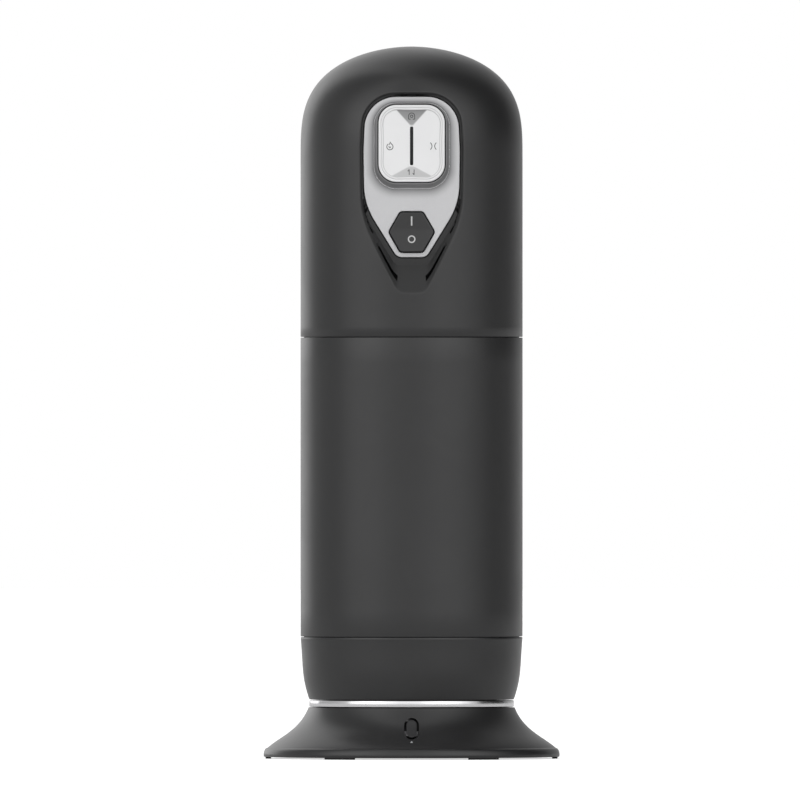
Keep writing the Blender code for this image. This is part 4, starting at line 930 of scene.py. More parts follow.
        opening = Opening(bm, outer, Facing.FRONT, centre, math.radians(38), 178 * MM, 279 * MM, 0.42 * MM)
        floor = self.sink_recess(opening, self.face_y + 0.3 * MM, 0.0, self.lip)
        slot = Star(self.face_outline((self.plate_gap,) * 5, self.plate_gap), centre)
        reaches = [slot.reach(a) for a in opening.angles]
        count = range(len(reaches))
        floor_y, back_y = floor[0].y, self.plate_back + 1.4 * MM
        # the floor's margin and the slot's wall round the plate also carry full painted shade
        opening.ring.step([opening.point(i, reaches[i] + 0.15 * MM, floor_y) for i in count], 1.0)
        opening.ring.step([opening.point(i, reaches[i] + 0.04 * MM, floor_y + 0.04 * MM) for i in count], 1.0)
        opening.ring.step([opening.point(i, reaches[i], floor_y + 0.15 * MM) for i in count], 1.0)
        opening.ring.step([opening.point(i, reaches[i], back_y) for i in count], 1.0)
        opening.ring.cap()

        behind = Opening(bm, inner, Facing.FRONT, centre, math.radians(42), 176 * MM, 280 * MM, 1.2 * MM)
        self.sink_recess(behind, self.plate_back + 0.3 * MM + self.tub_wall, self.tub_wall, 0.3 * MM)
        behind.ring.cap()

        clear = 0.3 * MM
        wide, tall = self.inlet_half
        hole = rounded_rectangle((wide + clear, tall + clear), 3.0 * MM + clear, self.inlet_z)
        through_hole(bm, outer, inner, Facing.BACK, hole, (0.0, self.inlet_z),
                     (math.radians(15), self.inlet_z - 9.5 * MM, self.inlet_z + 9.5 * MM), 0.25 * MM,
                     0.5 * MM)
        add_piece("dome_shell", bm, self.palette["shell"], "housing", ("dome_housing",), 50.0)

    def build_barrel(self) -> None:
        """The straight barrel under the dome, with softened edges at both seams."""
        low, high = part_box("barrel_shell")
        edge, inner, step = self.seam_edge, self.radius - self.wall, self.radius - self.rebate[0] - 0.15 * MM
        reach = self.rebate[1] - 0.3 * MM
        corners = [(inner, low.z - reach), (step, low.z - reach), (step, low.z), (self.radius, low.z),
                   (self.radius, high.z), (step, high.z), (step, high.z + reach), (inner, high.z + reach)]
        profile = rounded(corners, [0.1 * MM] * 3 + [edge] * 2 + [0.1 * MM] * 3, 4)
        bm = spun(new_mesh(), profile, self.steps, closed=True)
        long_edges = [e for e in bm.edges if e.calc_length() > 50 * MM]
        bmesh.ops.subdivide_edges(bm, edges=long_edges, cuts=11, use_grid_fill=True)
        add_piece("barrel_sleeve", bm, self.palette["shell"], "housing", ("barrel_shell",))

    def build_collar(self) -> None:
        """The collar that draws in from the barrel to the bright ring."""
        low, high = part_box("collar_shell")
        outer = bezier((self.trim_radius, low.z), (0.89, 0.362), (0.70, 0.5), (self.radius, high.z), 40)
        step, drop = self.rebate
        inner = ([(self.radius - step, high.z), (self.radius - step, high.z - drop)]
                 + [(r - self.wall, z) for r, z in reversed(outer) if z < high.z - drop - 0.2 * MM])
        edge = self.seam_edge
        profile = ([(outer[0][0] - edge, low.z), (outer[0][0] - 0.3 * edge, low.z + 0.3 * edge)] + outer[1:-1]
                   + [(self.radius, high.z - edge), (self.radius - 0.3 * edge, high.z - 0.3 * edge),
                      (self.radius - edge, high.z)] + inner)
        bm = spun(new_mesh(), profile, self.steps, closed=True)
        add_piece("lower_collar", bm, self.palette["shell"], "housing", ("collar_shell",))

    def build_cover(self) -> None:
        """The rubber cover of the charging inlet, curved like the dome, with a pull ridge."""
        side = TurnedSide(self.dome_rows(0.0, 2, 200))
        wide, tall = self.inlet_half
        count = 120
        turns = [-math.pi + 2 * math.pi * (i + 0.5) / count for i in range(count)]
        star = Star(rounded_rectangle((wide, tall), 3.0 * MM, self.inlet_z), (0.0, self.inlet_z))
        edge = 0.35 * MM

        def ring(inset: float, sunk: float, share: float = 1.0) -> list[Vector]:
            """A ring drawn in by an inset and a share, and sunk below the surface."""
            found = []
            for turn in turns:
                x, z = star.at(turn, (star.reach(turn) - inset) * share)
                found.append(Vector((x, side.depth(x, z, Facing.BACK) - sunk, z)))
            return found

        top = 0.1 * MM
        rings = [ring(0.4 * MM, 1.55 * MM, 0.5), ring(0.4 * MM, 1.55 * MM), ring(0.0, 1.2 * MM),
                 ring(0.0, edge + top),
                 ring(0.1 * MM, 0.1 * MM + top), ring(edge, top), ring(0.9 * MM, top),
                 ring(1.1 * MM, top + 0.18 * MM),
                 ring(1.5 * MM, top + 0.18 * MM), ring(1.7 * MM, top)]
        rings += [ring(1.7 * MM, top, share) for share in (0.8, 0.55, 0.3, 0.1)]
        add_piece("inlet_cover", lofted(rings), self.palette["rubber"], "cover", ("port_cover",))
        ridge_z = self.inlet_z + tall - 2.4 * MM
        bar = strip([(-2.6 * MM, ridge_z), (0.0, ridge_z), (2.6 * MM, ridge_z)], 0.8 * MM,
                    lambda x, z: side.depth(x, z, Facing.BACK) - 0.1 * MM, 0.0, 0.25 * MM)
        add_piece("cover_ridge", bar, self.palette["rubber"], "cover")

    def build(self) -> None:
        """Builds every shell."""
        self.build_dome()
        self.build_barrel()
        self.build_collar()
        self.build_cover()


@dataclass
class ControlFace:
    """The silver plate, the dished pad with its ring, light bar and signs, and the hexagonal rocker."""

    palette: Palette
    housing: Housing
    spokes: int = 480
    pad_corner: float = 7.3 * MM
    rim: float = 2.2 * MM
    dish: float = 1.1 * MM
    plate_shade: float = 4.2 * MM
    top_fall: float = 12.4 * MM
    low_fall: float = 6.1 * MM
    rocker_rise: float = math.tan(math.radians(12.0))

    def __post_init__(self) -> None:
        """Reads the pad's, ring's and rocker's places from the frame."""
        low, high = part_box("control_pad")
        self.pad_half = (high.x, (high.z - low.z) / 2)
        self.pad_z, self.pad_front, self.pad_back = (high.z + low.z) / 2, low.y, high.y
        bar_low, bar_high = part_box("light_bar")
        self.bar_half = (bar_high.x, (bar_high.z - bar_low.z) / 2)
        self.bar_z, self.bar_front, self.bar_back = (bar_low.z + bar_high.z) / 2, bar_low.y, bar_high.y
        ring_low, ring_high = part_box("pad_ring")
        self.ring_half = (ring_high.x, (ring_high.z - ring_low.z) / 2)
        self.ring_z, self.ring_front, self.ring_back = (ring_high.z + ring_low.z) / 2, ring_low.y, ring_high.y
        rocker_low, rocker_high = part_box("rocker_cap")
        self.rocker_half = (rocker_high.x, (rocker_high.z - rocker_low.z) / 2)
        self.rocker_z, self.rocker_back = (rocker_high.z + rocker_low.z) / 2, rocker_high.y
        self.valley = self.housing.face_y - 0.6 * MM
        self.turns = [-math.pi + 2 * math.pi * (i + 0.5) / self.spokes for i in range(self.spokes)]

    def pad_outline(self, inset: float) -> list[Point]:
        """The pad's outline, drawn in by `inset`."""
        half = (self.pad_half[0] - inset, self.pad_half[1] - inset)
        return rounded_rectangle(half, self.pad_corner - inset, self.pad_z, 14)

    def pad_surface(self, x: float, z: float) -> float:
        """The y of the pad's dished face."""
        ridge_top, ridge_low = self.bar_z + self.bar_half[1], self.bar_z - self.bar_half[1]
        side = 1 - abs(x) / (self.pad_half[0] - self.rim)
        above = 1 - (z - ridge_top) / self.top_fall
        below = 1 - (ridge_low - z) / self.low_fall
        fall = soft_least(soft_least(side, above, 0.06), below, 0.06)
        return self.pad_front + self.dish * max(fall, 0.0)

    def pad_painted_shade(self, x: float, z: float) -> float:
        """Painted shade on the dish: its top facet is shaded darkest, and its bottom one half as dark."""
        ridge_top, ridge_low = self.bar_z + self.bar_half[1], self.bar_z - self.bar_half[1]
        side = abs(x) / (self.pad_half[0] - self.rim)
        above = (z - ridge_top) / self.top_fall
        below = (ridge_low - z) / self.low_fall
        top = smooth_step((above - side) / 0.07 + 0.4) * smooth_step((z - ridge_top) / (1.2 * MM))
        low = smooth_step((below - side) / 0.12 + 0.4) * smooth_step((ridge_low - z) / (1.2 * MM))
        return max((0.62 + 0.3 * above) * top, 0.42 * low)

    def rings_of(self, star: Star, inset: float, y: float) -> list[Vector]:
        """A ring of points inside a star-shaped outline at one y."""
        found = []
        for turn in self.turns:
            x, z = star.at(turn, star.reach(turn) - inset)
            found.append(Vector((x, y, z)))
        return found

    def build_pad(self) -> None:
        """The pearl pad: rounded rim, fine step, four-sided dish and the slot of the light bar, with painted
        shade in the step's grooves and on the dish's facets.
        """
        centre = (0.0, self.bar_z)
        star = Star(self.pad_outline(0.0), centre)
        inner = Star(self.pad_outline(self.rim), centre)
        slot_half = (self.bar_half[0] + 0.12 * MM, self.bar_half[1] + 0.12 * MM)
        slot = Star(rounded_rectangle(slot_half, self.bar_half[0] * 0.9, self.bar_z), centre)
        front, edge, groove = self.pad_front, 0.5 * MM, 0.10 * MM
        bm = new_mesh()
        ring = Ring.drawn(bm, self.rings_of(star, 0.0, self.pad_back))
        back = ring.edges
        for k in range(7):
            turn = math.pi / 2 * k / 6
            ring.step(self.rings_of(star, edge * (1 - math.cos(turn)), front + edge * (1 - math.sin(turn))))
        # the fine step's two grooves carry painted shade, and the flat between them a little
        for inset, drop, painted_shade in ((1.02, 0.0, 0.0), (1.12, groove, 0.4), (1.24, groove, 0.4),
                                  (1.34, 0.0, 0.05),
                                  (1.90, 0.0, 0.05), (2.00, groove, 0.4), (2.12, groove, 0.4)):
            ring.step(self.rings_of(star, inset * MM, front + drop), painted_shade)
        shade = bm.verts.layers.float[PAINTED_SHADE]
        fan = 46
        for k in range(fan + 1):
            points = []
            for turn in self.turns:
                reach = inner.reach(turn) + (slot.reach(turn) - inner.reach(turn)) * k / fan
                x, z = star.at(turn, reach)
                points.append(Vector((x, self.pad_surface(x, z), z)))
            ring.step(points)
            # painted shade on the dish's top and bottom facets
            for vert in {v for e in ring.edges for v in e.verts}:
                vert[shade] = self.pad_painted_shade(vert.co.x, vert.co.z)
        sunk = self.pad_front + self.dish + 0.5 * MM
        ring.step([Vector((p.x, sunk, p.z)) for p in self.rings_of(slot, 0.0, sunk)])
        ring.step([Vector((p.x, self.pad_back, p.z)) for p in self.rings_of(slot, 0.0, self.pad_back)])
        bmesh.ops.bridge_loops(bm, edges=back + ring.edges)
        add_piece("touch_pad", bm, self.palette["pearl"], "pad", ("control_pad",), 60.0)

        bar = Star(rounded_rectangle(self.bar_half, self.bar_half[0] * 0.9, self.bar_z), centre)
        glow_front = self.bar_front + 0.05 * MM
        rings = [self.rings_of(bar, 0.0, self.bar_back), self.rings_of(bar, 0.0, glow_front + 0.25 * MM),
                 self.rings_of(bar, 0.08 * MM, glow_front + 0.08 * MM),
                 self.rings_of(bar, 0.25 * MM, glow_front)]
        add_piece("light_window", lofted(rings), self.palette["light"], "pad", ("light_bar",))

    def build_ring(self) -> None:
        """The sloping grey ring round the pad, with a thin bright line at its foot that is a painted
        highlight.
        """
        centre = (0.0, self.pad_z)
        corner = self.pad_corner + self.ring_half[0] - self.pad_half[0]
        foot = Star(rounded_rectangle(self.ring_half, corner, self.ring_z, 14), centre)
        crest = Star(self.pad_outline(-0.8 * MM), centre)
        bore = Star(self.pad_outline(-0.4 * MM), centre)
        face, front = self.housing.face_y, self.ring_front

        def between(share: float, y: float) -> list[Vector]:
            """A ring part of the way from the foot to the crest."""
            found = []
            for turn in self.turns:
                reach = foot.reach(turn) + (crest.reach(turn) - foot.reach(turn)) * share
                x, z = foot.at(turn, reach)
                found.append(Vector((x, y, z)))
            return found

        rings = [self.rings_of(foot, 0.0, self.ring_back), self.rings_of(foot, 0.0, face)]
        for k in range(1, 9):
            share = k / 8
            rings.append(between(share * 0.94, face + (front + 0.1 * MM - face) * (0.25 * share
                                                                                   + 0.75 * share ** 2)))
        rings += [between(1.0, front), self.rings_of(bore, -0.12 * MM, front),
                  self.rings_of(bore, 0.0, front + 0.1 * MM),
                  self.rings_of(bore, 0.0, self.ring_back)]
        add_piece("pad_skirt", lofted(rings, capped=False), self.palette["grey"], "housing",
                  ("pad_ring",), 60.0)
        # painted highlight: a thin bright line round the ring's foot
        highlight_radius = 0.13 * MM
        rings = []
        for k in range(8):
            turn = 2 * math.pi * k / 8
            rings.append(self.rings_of(foot, -0.02 * MM - highlight_radius * math.cos(turn),
                                       face - 0.02 * MM - highlight_radius * math.sin(turn)))
        add_piece("ring_foot_highlight", lofted(rings, capped=False), self.palette["painted_highlight_line"], "housing",
                  (), 60.0)

    def build_plate(self) -> None:
        """The silver plate, with painted shade that darkens it towards the pad's ring."""
        house = self.housing
        face, back, edge = house.face_y, house.plate_back, 0.28 * MM
        rim_centre = (0.0, self.ring_z)
        corner = self.pad_corner + self.ring_half[0] - self.pad_half[0] + 0.25 * MM
        window = Star(rounded_rectangle((self.ring_half[0] + 0.25 * MM, self.ring_half[1] + 0.25 * MM),
                                        corner,
                                        self.ring_z, 14), rim_centre)
        plate = Star(house.face_outline((0.0,) * 5), rim_centre)
        rocker = Star(self.rocker_outline(0.4 * MM), (0.0, self.rocker_z))
        bands = 14
        spans = [min(self.plate_shade, plate.reach(t) - window.reach(t) - edge - 0.25 * MM)
                 for t in self.turns]

        def shaded(k: int) -> list[Vector]:
            """Ring k of the band of painted shade round the window."""
            found = []
            for turn, span in zip(self.turns, spans):
                x, z = window.at(turn, window.reach(turn) + span * k / bands)
                found.append(Vector((x, face, z)))
            return found

        bm = new_mesh()
        inner = Ring.drawn(bm, shaded(bands))
        outer = Ring.drawn(bm, self.rings_of(plate, edge + 0.06 * MM, face))
        hex_ring = Ring.drawn(bm, self.rings_of(rocker, -edge - 0.06 * MM, face))
        bmesh.ops.triangle_fill(bm, use_beauty=True, use_dissolve=False,
                                edges=inner.edges + outer.edges + hex_ring.edges)
        # painted shade: darkest at the window, fading out across the band
        for k in range(bands - 1, -1, -1):
            inner.step(shaded(k), (1 - k / bands) ** 1.5 * 0.8)
        inner.step(self.rings_of(window, 0.05 * MM, face + 0.05 * MM), 0.8)
        inner.step(self.rings_of(window, 0.05 * MM, back))
        for ring, star, sign in ((outer, plate, 1), (hex_ring, rocker, -1)):
            for k in range(6):
                turn = math.pi / 2 * k / 5
                ring.step(self.rings_of(star, sign * edge * (1 - math.sin(turn)), face
                                        + edge * (1 - math.cos(turn))))
            ring.step(self.rings_of(star, 0.0, back))
        bmesh.ops.triangle_fill(bm, use_beauty=True, use_dissolve=False,
                                edges=inner.edges + outer.edges + hex_ring.edges)
        add_piece("silver_plate", bm, self.palette["silver"], "housing", ("control_plate",), 50.0)

    def rocker_outline(self, extra: float) -> list[Point]:
        """The rocker's hexagon, grown by `extra`."""
        wide, tall = self.rocker_half[0] + 0.45 * MM, self.rocker_half[1]
        top = 4.5 * MM
        corners = [(-top, tall), (top, tall), (wide, 0), (top, -tall), (-top, -tall), (-wide, 0)]
        corners = grown(corners, [extra] * 6)
        return [(x, z + self.rocker_z) for x, z in rounded(corners, [1.5 * MM + extra] * 6, 8)]

    def rocker_surface(self, x: float, z: float) -> float:
        """The y of the rocker's face: flat above its valley, rising below it."""
        return soft_least(self.valley, self.valley - self.rocker_rise * (self.rocker_z - z), 0.35 * MM)

    def build_rocker(self) -> None:
        """The rocker cap with its on and off signs."""
        star = Star(self.rocker_outline(0.0), (0.0, self.rocker_z))
        edge = 0.45 * MM

        def ring(inset: float, sunk: float, share: float = 1.0) -> list[Vector]:
            """A ring drawn in by an inset and a share, and sunk below the surface."""
            found = []
            for turn in self.turns:
                x, z = star.at(turn, (star.reach(turn) - inset) * share)
                found.append(Vector((x, self.rocker_surface(x, z) + sunk, z)))
            return found

        rings = [self.rings_of(star, 0.0, self.rocker_back)]
        for k in range(7):
            turn = math.pi / 2 * k / 6
            rings.append(ring(edge * (1 - math.cos(turn)), edge * (1 - math.sin(turn))))
        rings += [ring(edge, 0.0, share / 20) for share in range(19, 1, -1)]
        add_piece("rocker_key", lofted(rings), self.palette["shell"], "rocker", ("rocker_cap",),
                  60.0)
        bar = [(0.0, self.rocker_z + 2.6 * MM + 3.7 * MM * k / 6) for k in range(7)]
        zero = [(1.3 * MM * math.cos(a), self.rocker_z - 2.9 * MM + 1.3 * MM * math.sin(a))
                for a in (2 * math.pi * k / 40 for k in range(41))]
        signs = merged([strip(bar, 0.6 * MM, self.rocker_surface, 0.02 * MM, 0.05 * MM),
                        strip(zero, 0.5 * MM, self.rocker_surface, 0.02 * MM, 0.05 * MM)])
        add_piece("rocker_signs", signs, self.palette["white_ink"], "rocker")

    def build_signs(self) -> None:
        """Plain signs on the pad: a flame, two jaws, a sound arch and a pair of arrows."""
        width = 0.30 * MM

        def placed(path: list[Point], x: float, z: float) -> list[Point]:
            """A sign's path in millimetres, put in its place."""
            return [(px * MM + x, pz * MM + z) for px, pz in path]

        def arc(cx: float, cz: float, radius: float, start: float, end: float,
                steps: int = 14) -> list[Point]:
            """Points along an arc, in degrees."""
            angles = [math.radians(start + (end - start) * k / steps) for k in range(steps + 1)]
            return [(cx + radius * math.cos(a), cz + radius * math.sin(a)) for a in angles]

        x, z = self.pad_half[0] * 0.655, self.bar_z - 0.1 * MM
        flame = arc(0.0, -0.25, 1.25, 118, 405, 24) + [(0.55, 0.95), (0.05, 1.75), (0.0, 1.1), (-0.25, 0.6)]
        jaw = arc(-2.1, 0.0, 1.75, -52, 52)
        arch = [(-1.25, -0.9)] + arc(0.0, 0.35, 1.25, 180, 0, 18) + [(1.25, -0.9)]
        lines = [
            placed(flame, -x, z), placed([(-0.35, 0.1), (-0.35, -0.45), (0.1, -0.75), (0.35, -0.2)], -x, z),
            placed(jaw, x - 0.2 * MM, z), placed([(-px, pz) for px, pz in jaw], x + 0.2 * MM, z),
            placed(arch, 0.0, self.pad_z + 10.7 * MM),
            placed(arc(0.0, 0.25, 0.5, 0, 360, 14), 0.0, self.pad_z + 10.7 * MM),
            placed([(-1.25, -0.9), (-0.45, -0.9)], 0.0, self.pad_z + 10.7 * MM),
            placed([(0.45, -0.9), (1.25, -0.9)], 0.0, self.pad_z + 10.7 * MM),
        ]
        low = self.pad_z - 11.6 * MM
        for sign in (-1, 1):
            lines.append(placed([(sign * 1.0, -1.1), (sign * 1.0, 1.1)], 0.0, low))
            lines.append(placed([(sign * 1.0, -sign * 1.1), (sign * 1.0 - 0.55, -sign * 0.35)], 0.0, low))
        parts = [strip(line, width, self.pad_surface, 0.015 * MM, 0.03 * MM) for line in lines]
        add_piece("pad_signs", merged(parts), self.palette["ink"], "pad")

    def build(self) -> None:
        """Builds the whole control face."""
        self.build_plate()
        self.build_ring()
        self.build_pad()
        self.build_signs()
        self.build_rocker()


@dataclass
class Stand:
    """The flared stand: skirt with the release button's window, bright ring, button and indicator."""

    palette: Palette
    steps: int = 360
    wall: float = 2.4 * MM
    rim_in: float = 1.46 * MM
    rim_up: float = 3.6 * MM
    slit: float = 0.8 * MM

    def __post_init__(self) -> None:
        """Reads the stand's places from the frame."""
        low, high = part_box("base_skirt")
        self.radius, self.deck_z, self.low_z = high.x, high.z, low.z
        self.trim_low, self.trim_high = (corner.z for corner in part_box("trim_ring"))
        self.trim_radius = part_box("trim_ring")[1].x
        button_low, button_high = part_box("release_button")
        self.button_half = (button_high.x, (button_high.z - button_low.z) / 2)
        self.button_z, self.button_back = (button_low.z + button_high.z) / 2, button_high.y
        self.bore = 34.4 * MM

    def flare(self, offset: float, steps: int) -> list[Point]:
        """The skirt's side from its deck to its rim, moved inwards by `offset`."""
        foot = (self.radius - self.rim_in, self.low_z + self.rim_up)
        curve = bezier((self.trim_radius + 0.3 * MM, self.deck_z), (0.224, 0.569), (0.68, 0.711), foot, steps)
        moved = []
        for i, point in enumerate(curve):
            run = (Vector(curve[min(i + 1, steps)]) - Vector(curve[max(i - 1, 0)])).normalized()
            moved.append((point[0] + run.y * offset, point[1] - run.x * offset))
        return moved

    def rim_curve(self) -> list[Point]:
        """The skirt's rounded edge, from the flare's foot to the underside."""
        angles = [math.radians(90 * k / 12) for k in range(1, 13)]
        height = self.rim_up - 1.0 * MM
        curve = [(self.radius - self.rim_in * (1 - math.sin(a)), self.low_z + 1.0 * MM + height * math.cos(a))
                 for a in angles]
        return curve + [(self.radius - 0.05 * MM, self.low_z + 0.3 * MM),
                        (self.radius - 0.3 * MM, self.low_z)]

    def button_outline(self, extra: float) -> list[Point]:
        """The release button's pill, grown by `extra`."""
        wide, tall = self.button_half
        return rounded_rectangle((wide + extra, tall + extra), wide + extra - 0.05 * MM, self.button_z, 16)

    def build_skirt(self) -> None:
        """The skirt: deck, flare, rim and a socket tube inside, with a window for the button."""
        outer, inner = self.flare(0.0, 48), self.flare(self.wall, 30)
        under = [p for p in reversed(inner) if p[0] < self.radius - 4.8 * MM
                 and p[1] < self.deck_z - self.wall]
        rail = self.radius - 3.8 * MM
        profile = ([(self.bore, self.deck_z - 0.4 * MM), (self.bore + 0.4 * MM, self.deck_z)] + outer
                   + self.rim_curve() + [(rail, self.low_z), (rail, self.low_z + 3.6 * MM)] + under
                   + [(self.bore + self.wall + 3.0 * MM, self.deck_z - self.wall),
                      (self.bore + self.wall, self.deck_z - self.wall - 1.0 * MM),
                      (self.bore + self.wall, 8.4 * MM), (self.bore, 8.4 * MM)])
        bm = spun(new_mesh(), profile, self.steps, closed=True)
        patch = (math.radians(6.0), 6.9 * MM, 18.2 * MM)
        through_hole(bm, TurnedSide(self.flare(0.0, 400)), TurnedSide(self.flare(self.wall, 400)),
                     Facing.FRONT,
                     self.button_outline(self.slit), (0.0, self.button_z), patch, 0.3 * MM, 0.35 * MM)
        add_piece("stand_skirt", bm, self.palette["shell"], "base", ("base_skirt",))

    def build_trim(self) -> None:
        """The bright ring between stand and collar."""
        inner = self.bore + 0.4 * MM
        corners = [(inner, self.trim_low), (self.trim_radius, self.trim_low),
                   (self.trim_radius, self.trim_high),
                   (inner, self.trim_high)]
        profile = rounded(corners, [0.1 * MM, 0.35 * MM, 0.35 * MM, 0.1 * MM], 6)
        add_piece("bright_ring", spun(new_mesh(), profile, self.steps, closed=True), self.palette["trim"],
                  "base",
                  ("trim_ring",))

    def build_button(self) -> None:
        """The pill-shaped release button, which follows the flare."""
        side = TurnedSide(self.flare(-0.3 * MM, 300))
        star = Star(self.button_outline(0.0), (0.0, self.button_z))
        count, edge = 160, 0.45 * MM
        turns = [-math.pi + 2 * math.pi * (i + 0.5) / count for i in range(count)]

        def ring(inset: float, sunk: float, share: float = 1.0) -> list[Vector]:
            """A ring drawn in by an inset and a share, and sunk below the surface."""
            found = []
            for turn in turns:
                x, z = star.at(turn, (star.reach(turn) - inset) * share)
                found.append(Vector((x, side.depth(x, z, Facing.FRONT) + sunk, z)))
            return found

        rings = [[Vector((p.x, self.button_back, p.z)) for p in ring(0.0, 0.0)]]
        for k in range(7):
            turn = math.pi / 2 * k / 6
            rings.append(ring(edge * (1 - math.cos(turn)), edge * (1 - math.sin(turn))))
        rings += [ring(edge, 0.0, share) for share in (0.85, 0.65, 0.45, 0.25, 0.1)]
        add_piece("release_key", lofted(rings), self.palette["matte"], "release",
                  ("release_button",), 60.0)

    def build_indicator(self) -> None:
        """The small domed indicator under the button."""
        low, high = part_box("indicator_lens")
        middle, radius = (low.z + high.z) / 2, high.x
        rings = []
        side = TurnedSide(self.flare(0.0, 200)) if middle > self.low_z + self.rim_up else None
        front = side.depth(0.0, middle, Facing.FRONT) if side else low.y
        for k in range(7):
            turn = math.pi / 2 * k / 6
            reach = radius * math.cos(turn) if k < 6 else 0.02 * MM
            rings.append([Vector((reach * math.cos(a), front - 0.25 * MM * math.sin(turn), middle
                                  + reach * math.sin(a)))
                          for a in (2 * math.pi * i / 32 for i in range(32))])
        back = [Vector((p.x, low.y + 5.0 * MM, p.z)) for p in rings[0]]
        add_piece("indicator_dot", lofted([back] + rings), self.palette["lens"], "base",
                  ("indicator_lens",))

    def build(self) -> None:
        """Builds the stand's visible pieces."""
        self.build_skirt()
        self.build_trim()
        self.build_button()
        self.build_indicator()


@dataclass
class InnerWorks:
    """The pieces inside, which keep the frame's own meshes and take a finish each."""

    palette: Palette

    FINISH_OF = {
        "base_plate": "matte", "ballast_ring": "steel", "latch_spring": "steel", "latch_plate": "steel",
        "mouth_ring": "matte", "control_board": "board", "rocker_body": "matte", "charge_socket": "matte",
        "lower_frame": "nylon", "upper_frame": "nylon", "screw_bush_lower": "brass",
        "screw_bush_upper": "brass",
        "idler_pin": "steel", "motor_gearbox": "steel", "motor": "steel", "air_pump": "matte",
        "speaker": "matte",
        "battery_cradle": "nylon", "sleeve_cup": "nylon", "carriage_ring": "matte", "drive_nut": "brass",
        "liner_sleeve": "silicone", "heater_tube": "foil", "lead_screw": "steel", "screw_gear": "brass",
        "idler_gear": "nylon", "motor_pinion": "brass", "pad_gimbal": "nylon",
    }
    GROUPS = {"foot_pad": "rubber", "base_screw": "steel", "guide_rod": "steel", "battery_cell": "cell",
              "guide_bush": "brass", "squeeze_pad": "silicone"}

    def finish_for(self, node: str) -> str | None:
        """The finish's name for a node, or None where a new piece stands for it."""
        grouped = [finish for start, finish in self.GROUPS.items() if node.startswith(start)]
        return self.FINISH_OF.get(node) or (grouped[0] if grouped else None)

    def dress(self) -> None:
        """Gives each shown node its finish."""
        for node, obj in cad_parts.items():
            finish = self.finish_for(node)
            if finish is None:
                continue
            for slot in obj.material_slots:
                slot.material = self.palette[finish]
            LOG.info("%s: %s", node, finish)


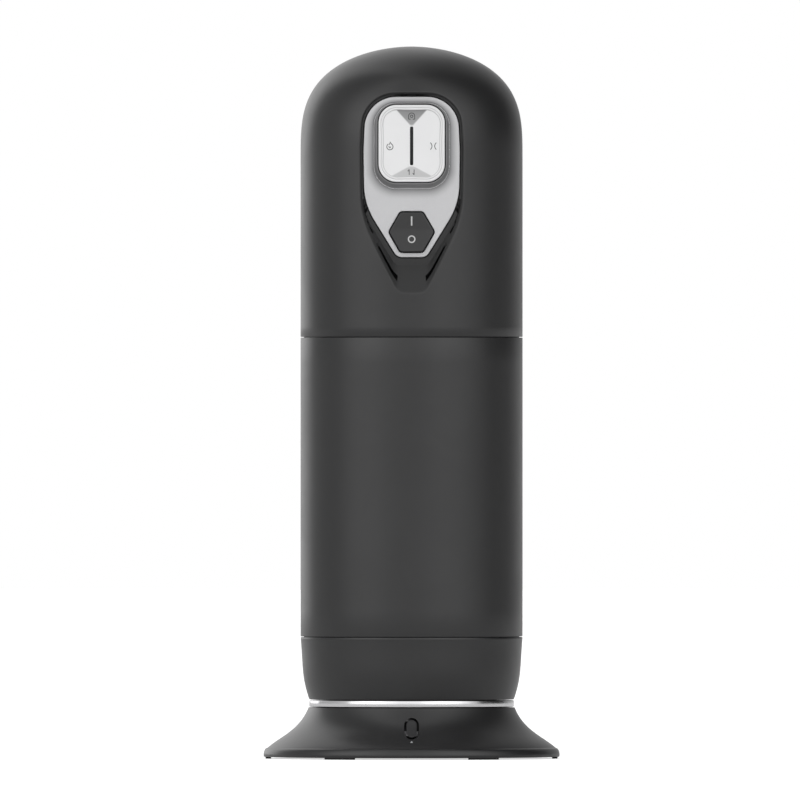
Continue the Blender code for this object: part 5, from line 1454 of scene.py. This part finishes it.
@dataclass
class Studio:
    """Pale floor, soft light all round and a long-lens camera in front."""

    lens: float = 1500.0
    sensor: float = 36.0
    view_width: float = 324.3 * MM
    aim: tuple[float, float] = (-4.7 * MM, 145.3 * MM)
    strength: float = 1.7
    # brightness of the wall by azimuth in degrees: behind-left, through the front, to behind-right
    wall_light: tuple[tuple[float, float], ...] = (
        (-180, 0.50), (-165, 0.65), (-150, 0.95), (-134, 0.95), (-127, 0.28), (-110, 0.27), (-94, 0.30),
        (-80, 0.38),
        (-70, 0.90), (-56, 1.12), (-40, 1.15), (-26, 0.86), (-12, 0.70), (6, 0.72), (20, 0.95), (32, 1.10),
        (52, 0.98), (64, 0.70), (76, 0.40), (88, 0.04), (104, 0.01), (124, 0.01), (132, 0.12), (146, 0.24),
        (160, 0.26), (180, 0.50),
    )
    ceiling_share: float = 0.55
    floor_colour: float = 0.82
    floor_glow: float = 0.60
    bounce_glow: float = 0.05

    def build_world(self) -> None:
        """A gradient studio, seen as plain white behind the object."""
        world = bpy.data.worlds.new("studio")
        bpy.context.scene.world = world
        world.use_nodes = True
        nodes, links = world.node_tree.nodes, world.node_tree.links
        output = nodes["World Output"]
        studio = nodes["Background"]
        way = nodes.new("ShaderNodeSeparateXYZ")
        links.new(nodes.new("ShaderNodeTexCoord").outputs["Generated"], way.inputs["Vector"])
        flipped = nodes.new("ShaderNodeMath")
        flipped.operation = "MULTIPLY"
        flipped.inputs[1].default_value = -1.0
        links.new(way.outputs["Y"], flipped.inputs[0])
        turn = nodes.new("ShaderNodeMath")
        turn.operation = "ARCTAN2"
        links.new(way.outputs["X"], turn.inputs[0])
        links.new(flipped.outputs["Value"], turn.inputs[1])
        share = nodes.new("ShaderNodeMapRange")
        share.inputs["From Min"].default_value = -math.pi
        share.inputs["From Max"].default_value = math.pi
        links.new(turn.outputs["Value"], share.inputs["Value"])
        ramp = nodes.new("ShaderNodeValToRGB")
        ramp.color_ramp.interpolation = "EASE"
        stops = ramp.color_ramp.elements
        while len(stops) > 1:
            stops.remove(stops[-1])
        for i, (degrees, level) in enumerate(self.wall_light):
            stop = stops[0] if i == 0 else stops.new(degrees / 360 + 0.5)
            stop.position = degrees / 360 + 0.5
            stop.color = (level, level, level, 1.0)
        links.new(share.outputs["Result"], ramp.inputs["Fac"])
        height = nodes.new("ShaderNodeMapRange")
        height.interpolation_type = "SMOOTHSTEP"
        height.inputs["From Min"].default_value = 0.25
        height.inputs["To Min"].default_value = self.strength
        height.inputs["To Max"].default_value = self.strength * self.ceiling_share
        links.new(way.outputs["Z"], height.inputs["Value"])
        links.new(ramp.outputs["Color"], studio.inputs["Color"])
        links.new(height.outputs["Result"], studio.inputs["Strength"])
        white = nodes.new("ShaderNodeBackground")
        white.inputs["Color"].default_value = (1.0, 1.0, 1.0, 1.0)
        seen = nodes.new("ShaderNodeLightPath")
        mix = nodes.new("ShaderNodeMixShader")
        links.new(seen.outputs["Is Camera Ray"], mix.inputs["Fac"])
        links.new(studio.outputs["Background"], mix.inputs[1])
        links.new(white.outputs["Background"], mix.inputs[2])
        links.new(mix.outputs["Shader"], output.inputs["Surface"])

    def build_floor(self) -> None:
        """A wide pale floor that glows a little, as a lit sweep does."""
        bm = bmesh.new()
        bmesh.ops.create_grid(bm, x_segments=1, y_segments=1, size=12.0)
        mesh = bpy.data.meshes.new("floor")
        bm.to_mesh(mesh)
        bm.free()
        material = bpy.data.materials.new("pale_floor")
        material.use_nodes = True
        shader = material.node_tree.nodes["Principled BSDF"]
        shader.inputs["Base Color"].default_value = (*(self.floor_colour,) * 3, 1.0)
        shader.inputs["Roughness"].default_value = 0.9
        shader.inputs["Specular IOR Level"].default_value = 0.0
        shader.inputs["Emission Color"].default_value = (1.0, 1.0, 1.0, 1.0)
        nodes, links = material.node_tree.nodes, material.node_tree.links
        glow = nodes.new("ShaderNodeMapRange")
        glow.inputs["To Min"].default_value = self.bounce_glow
        glow.inputs["To Max"].default_value = self.floor_glow
        links.new(nodes.new("ShaderNodeLightPath").outputs["Is Camera Ray"], glow.inputs["Value"])
        links.new(glow.outputs["Result"], shader.inputs["Emission Strength"])
        mesh.materials.append(material)
        floor = bpy.data.objects.new("floor", mesh)
        bpy.context.scene.collection.objects.link(floor)

    def build_camera(self) -> None:
        """The camera, level and square to the control side."""
        data = bpy.data.cameras.new("camera")
        data.lens, data.sensor_width = self.lens, self.sensor
        data.clip_end = 50.0
        camera = bpy.data.objects.new("camera", data)
        distance = self.view_width / self.sensor * self.lens
        camera.location = (self.aim[0], -distance, self.aim[1])
        camera.rotation_euler = (math.pi / 2, 0.0, 0.0)
        bpy.context.scene.collection.objects.link(camera)
        bpy.context.scene.camera = camera

    def build(self) -> None:
        """Builds the studio."""
        self.build_world()
        self.build_floor()
        self.build_camera()
        bpy.context.scene.view_settings.view_transform = "Standard"


def main() -> None:
    """Builds the studio and then each sub-assembly."""
    logging.basicConfig(level=logging.INFO, format="%(message)s", stream=sys.stdout)
    Studio().build()
    palette = Palette()
    housing = Housing(palette)
    housing.build()
    ControlFace(palette, housing).build()
    Stand(palette).build()
    InnerWorks(palette).dress()


if __name__ == "__main__":
    main()
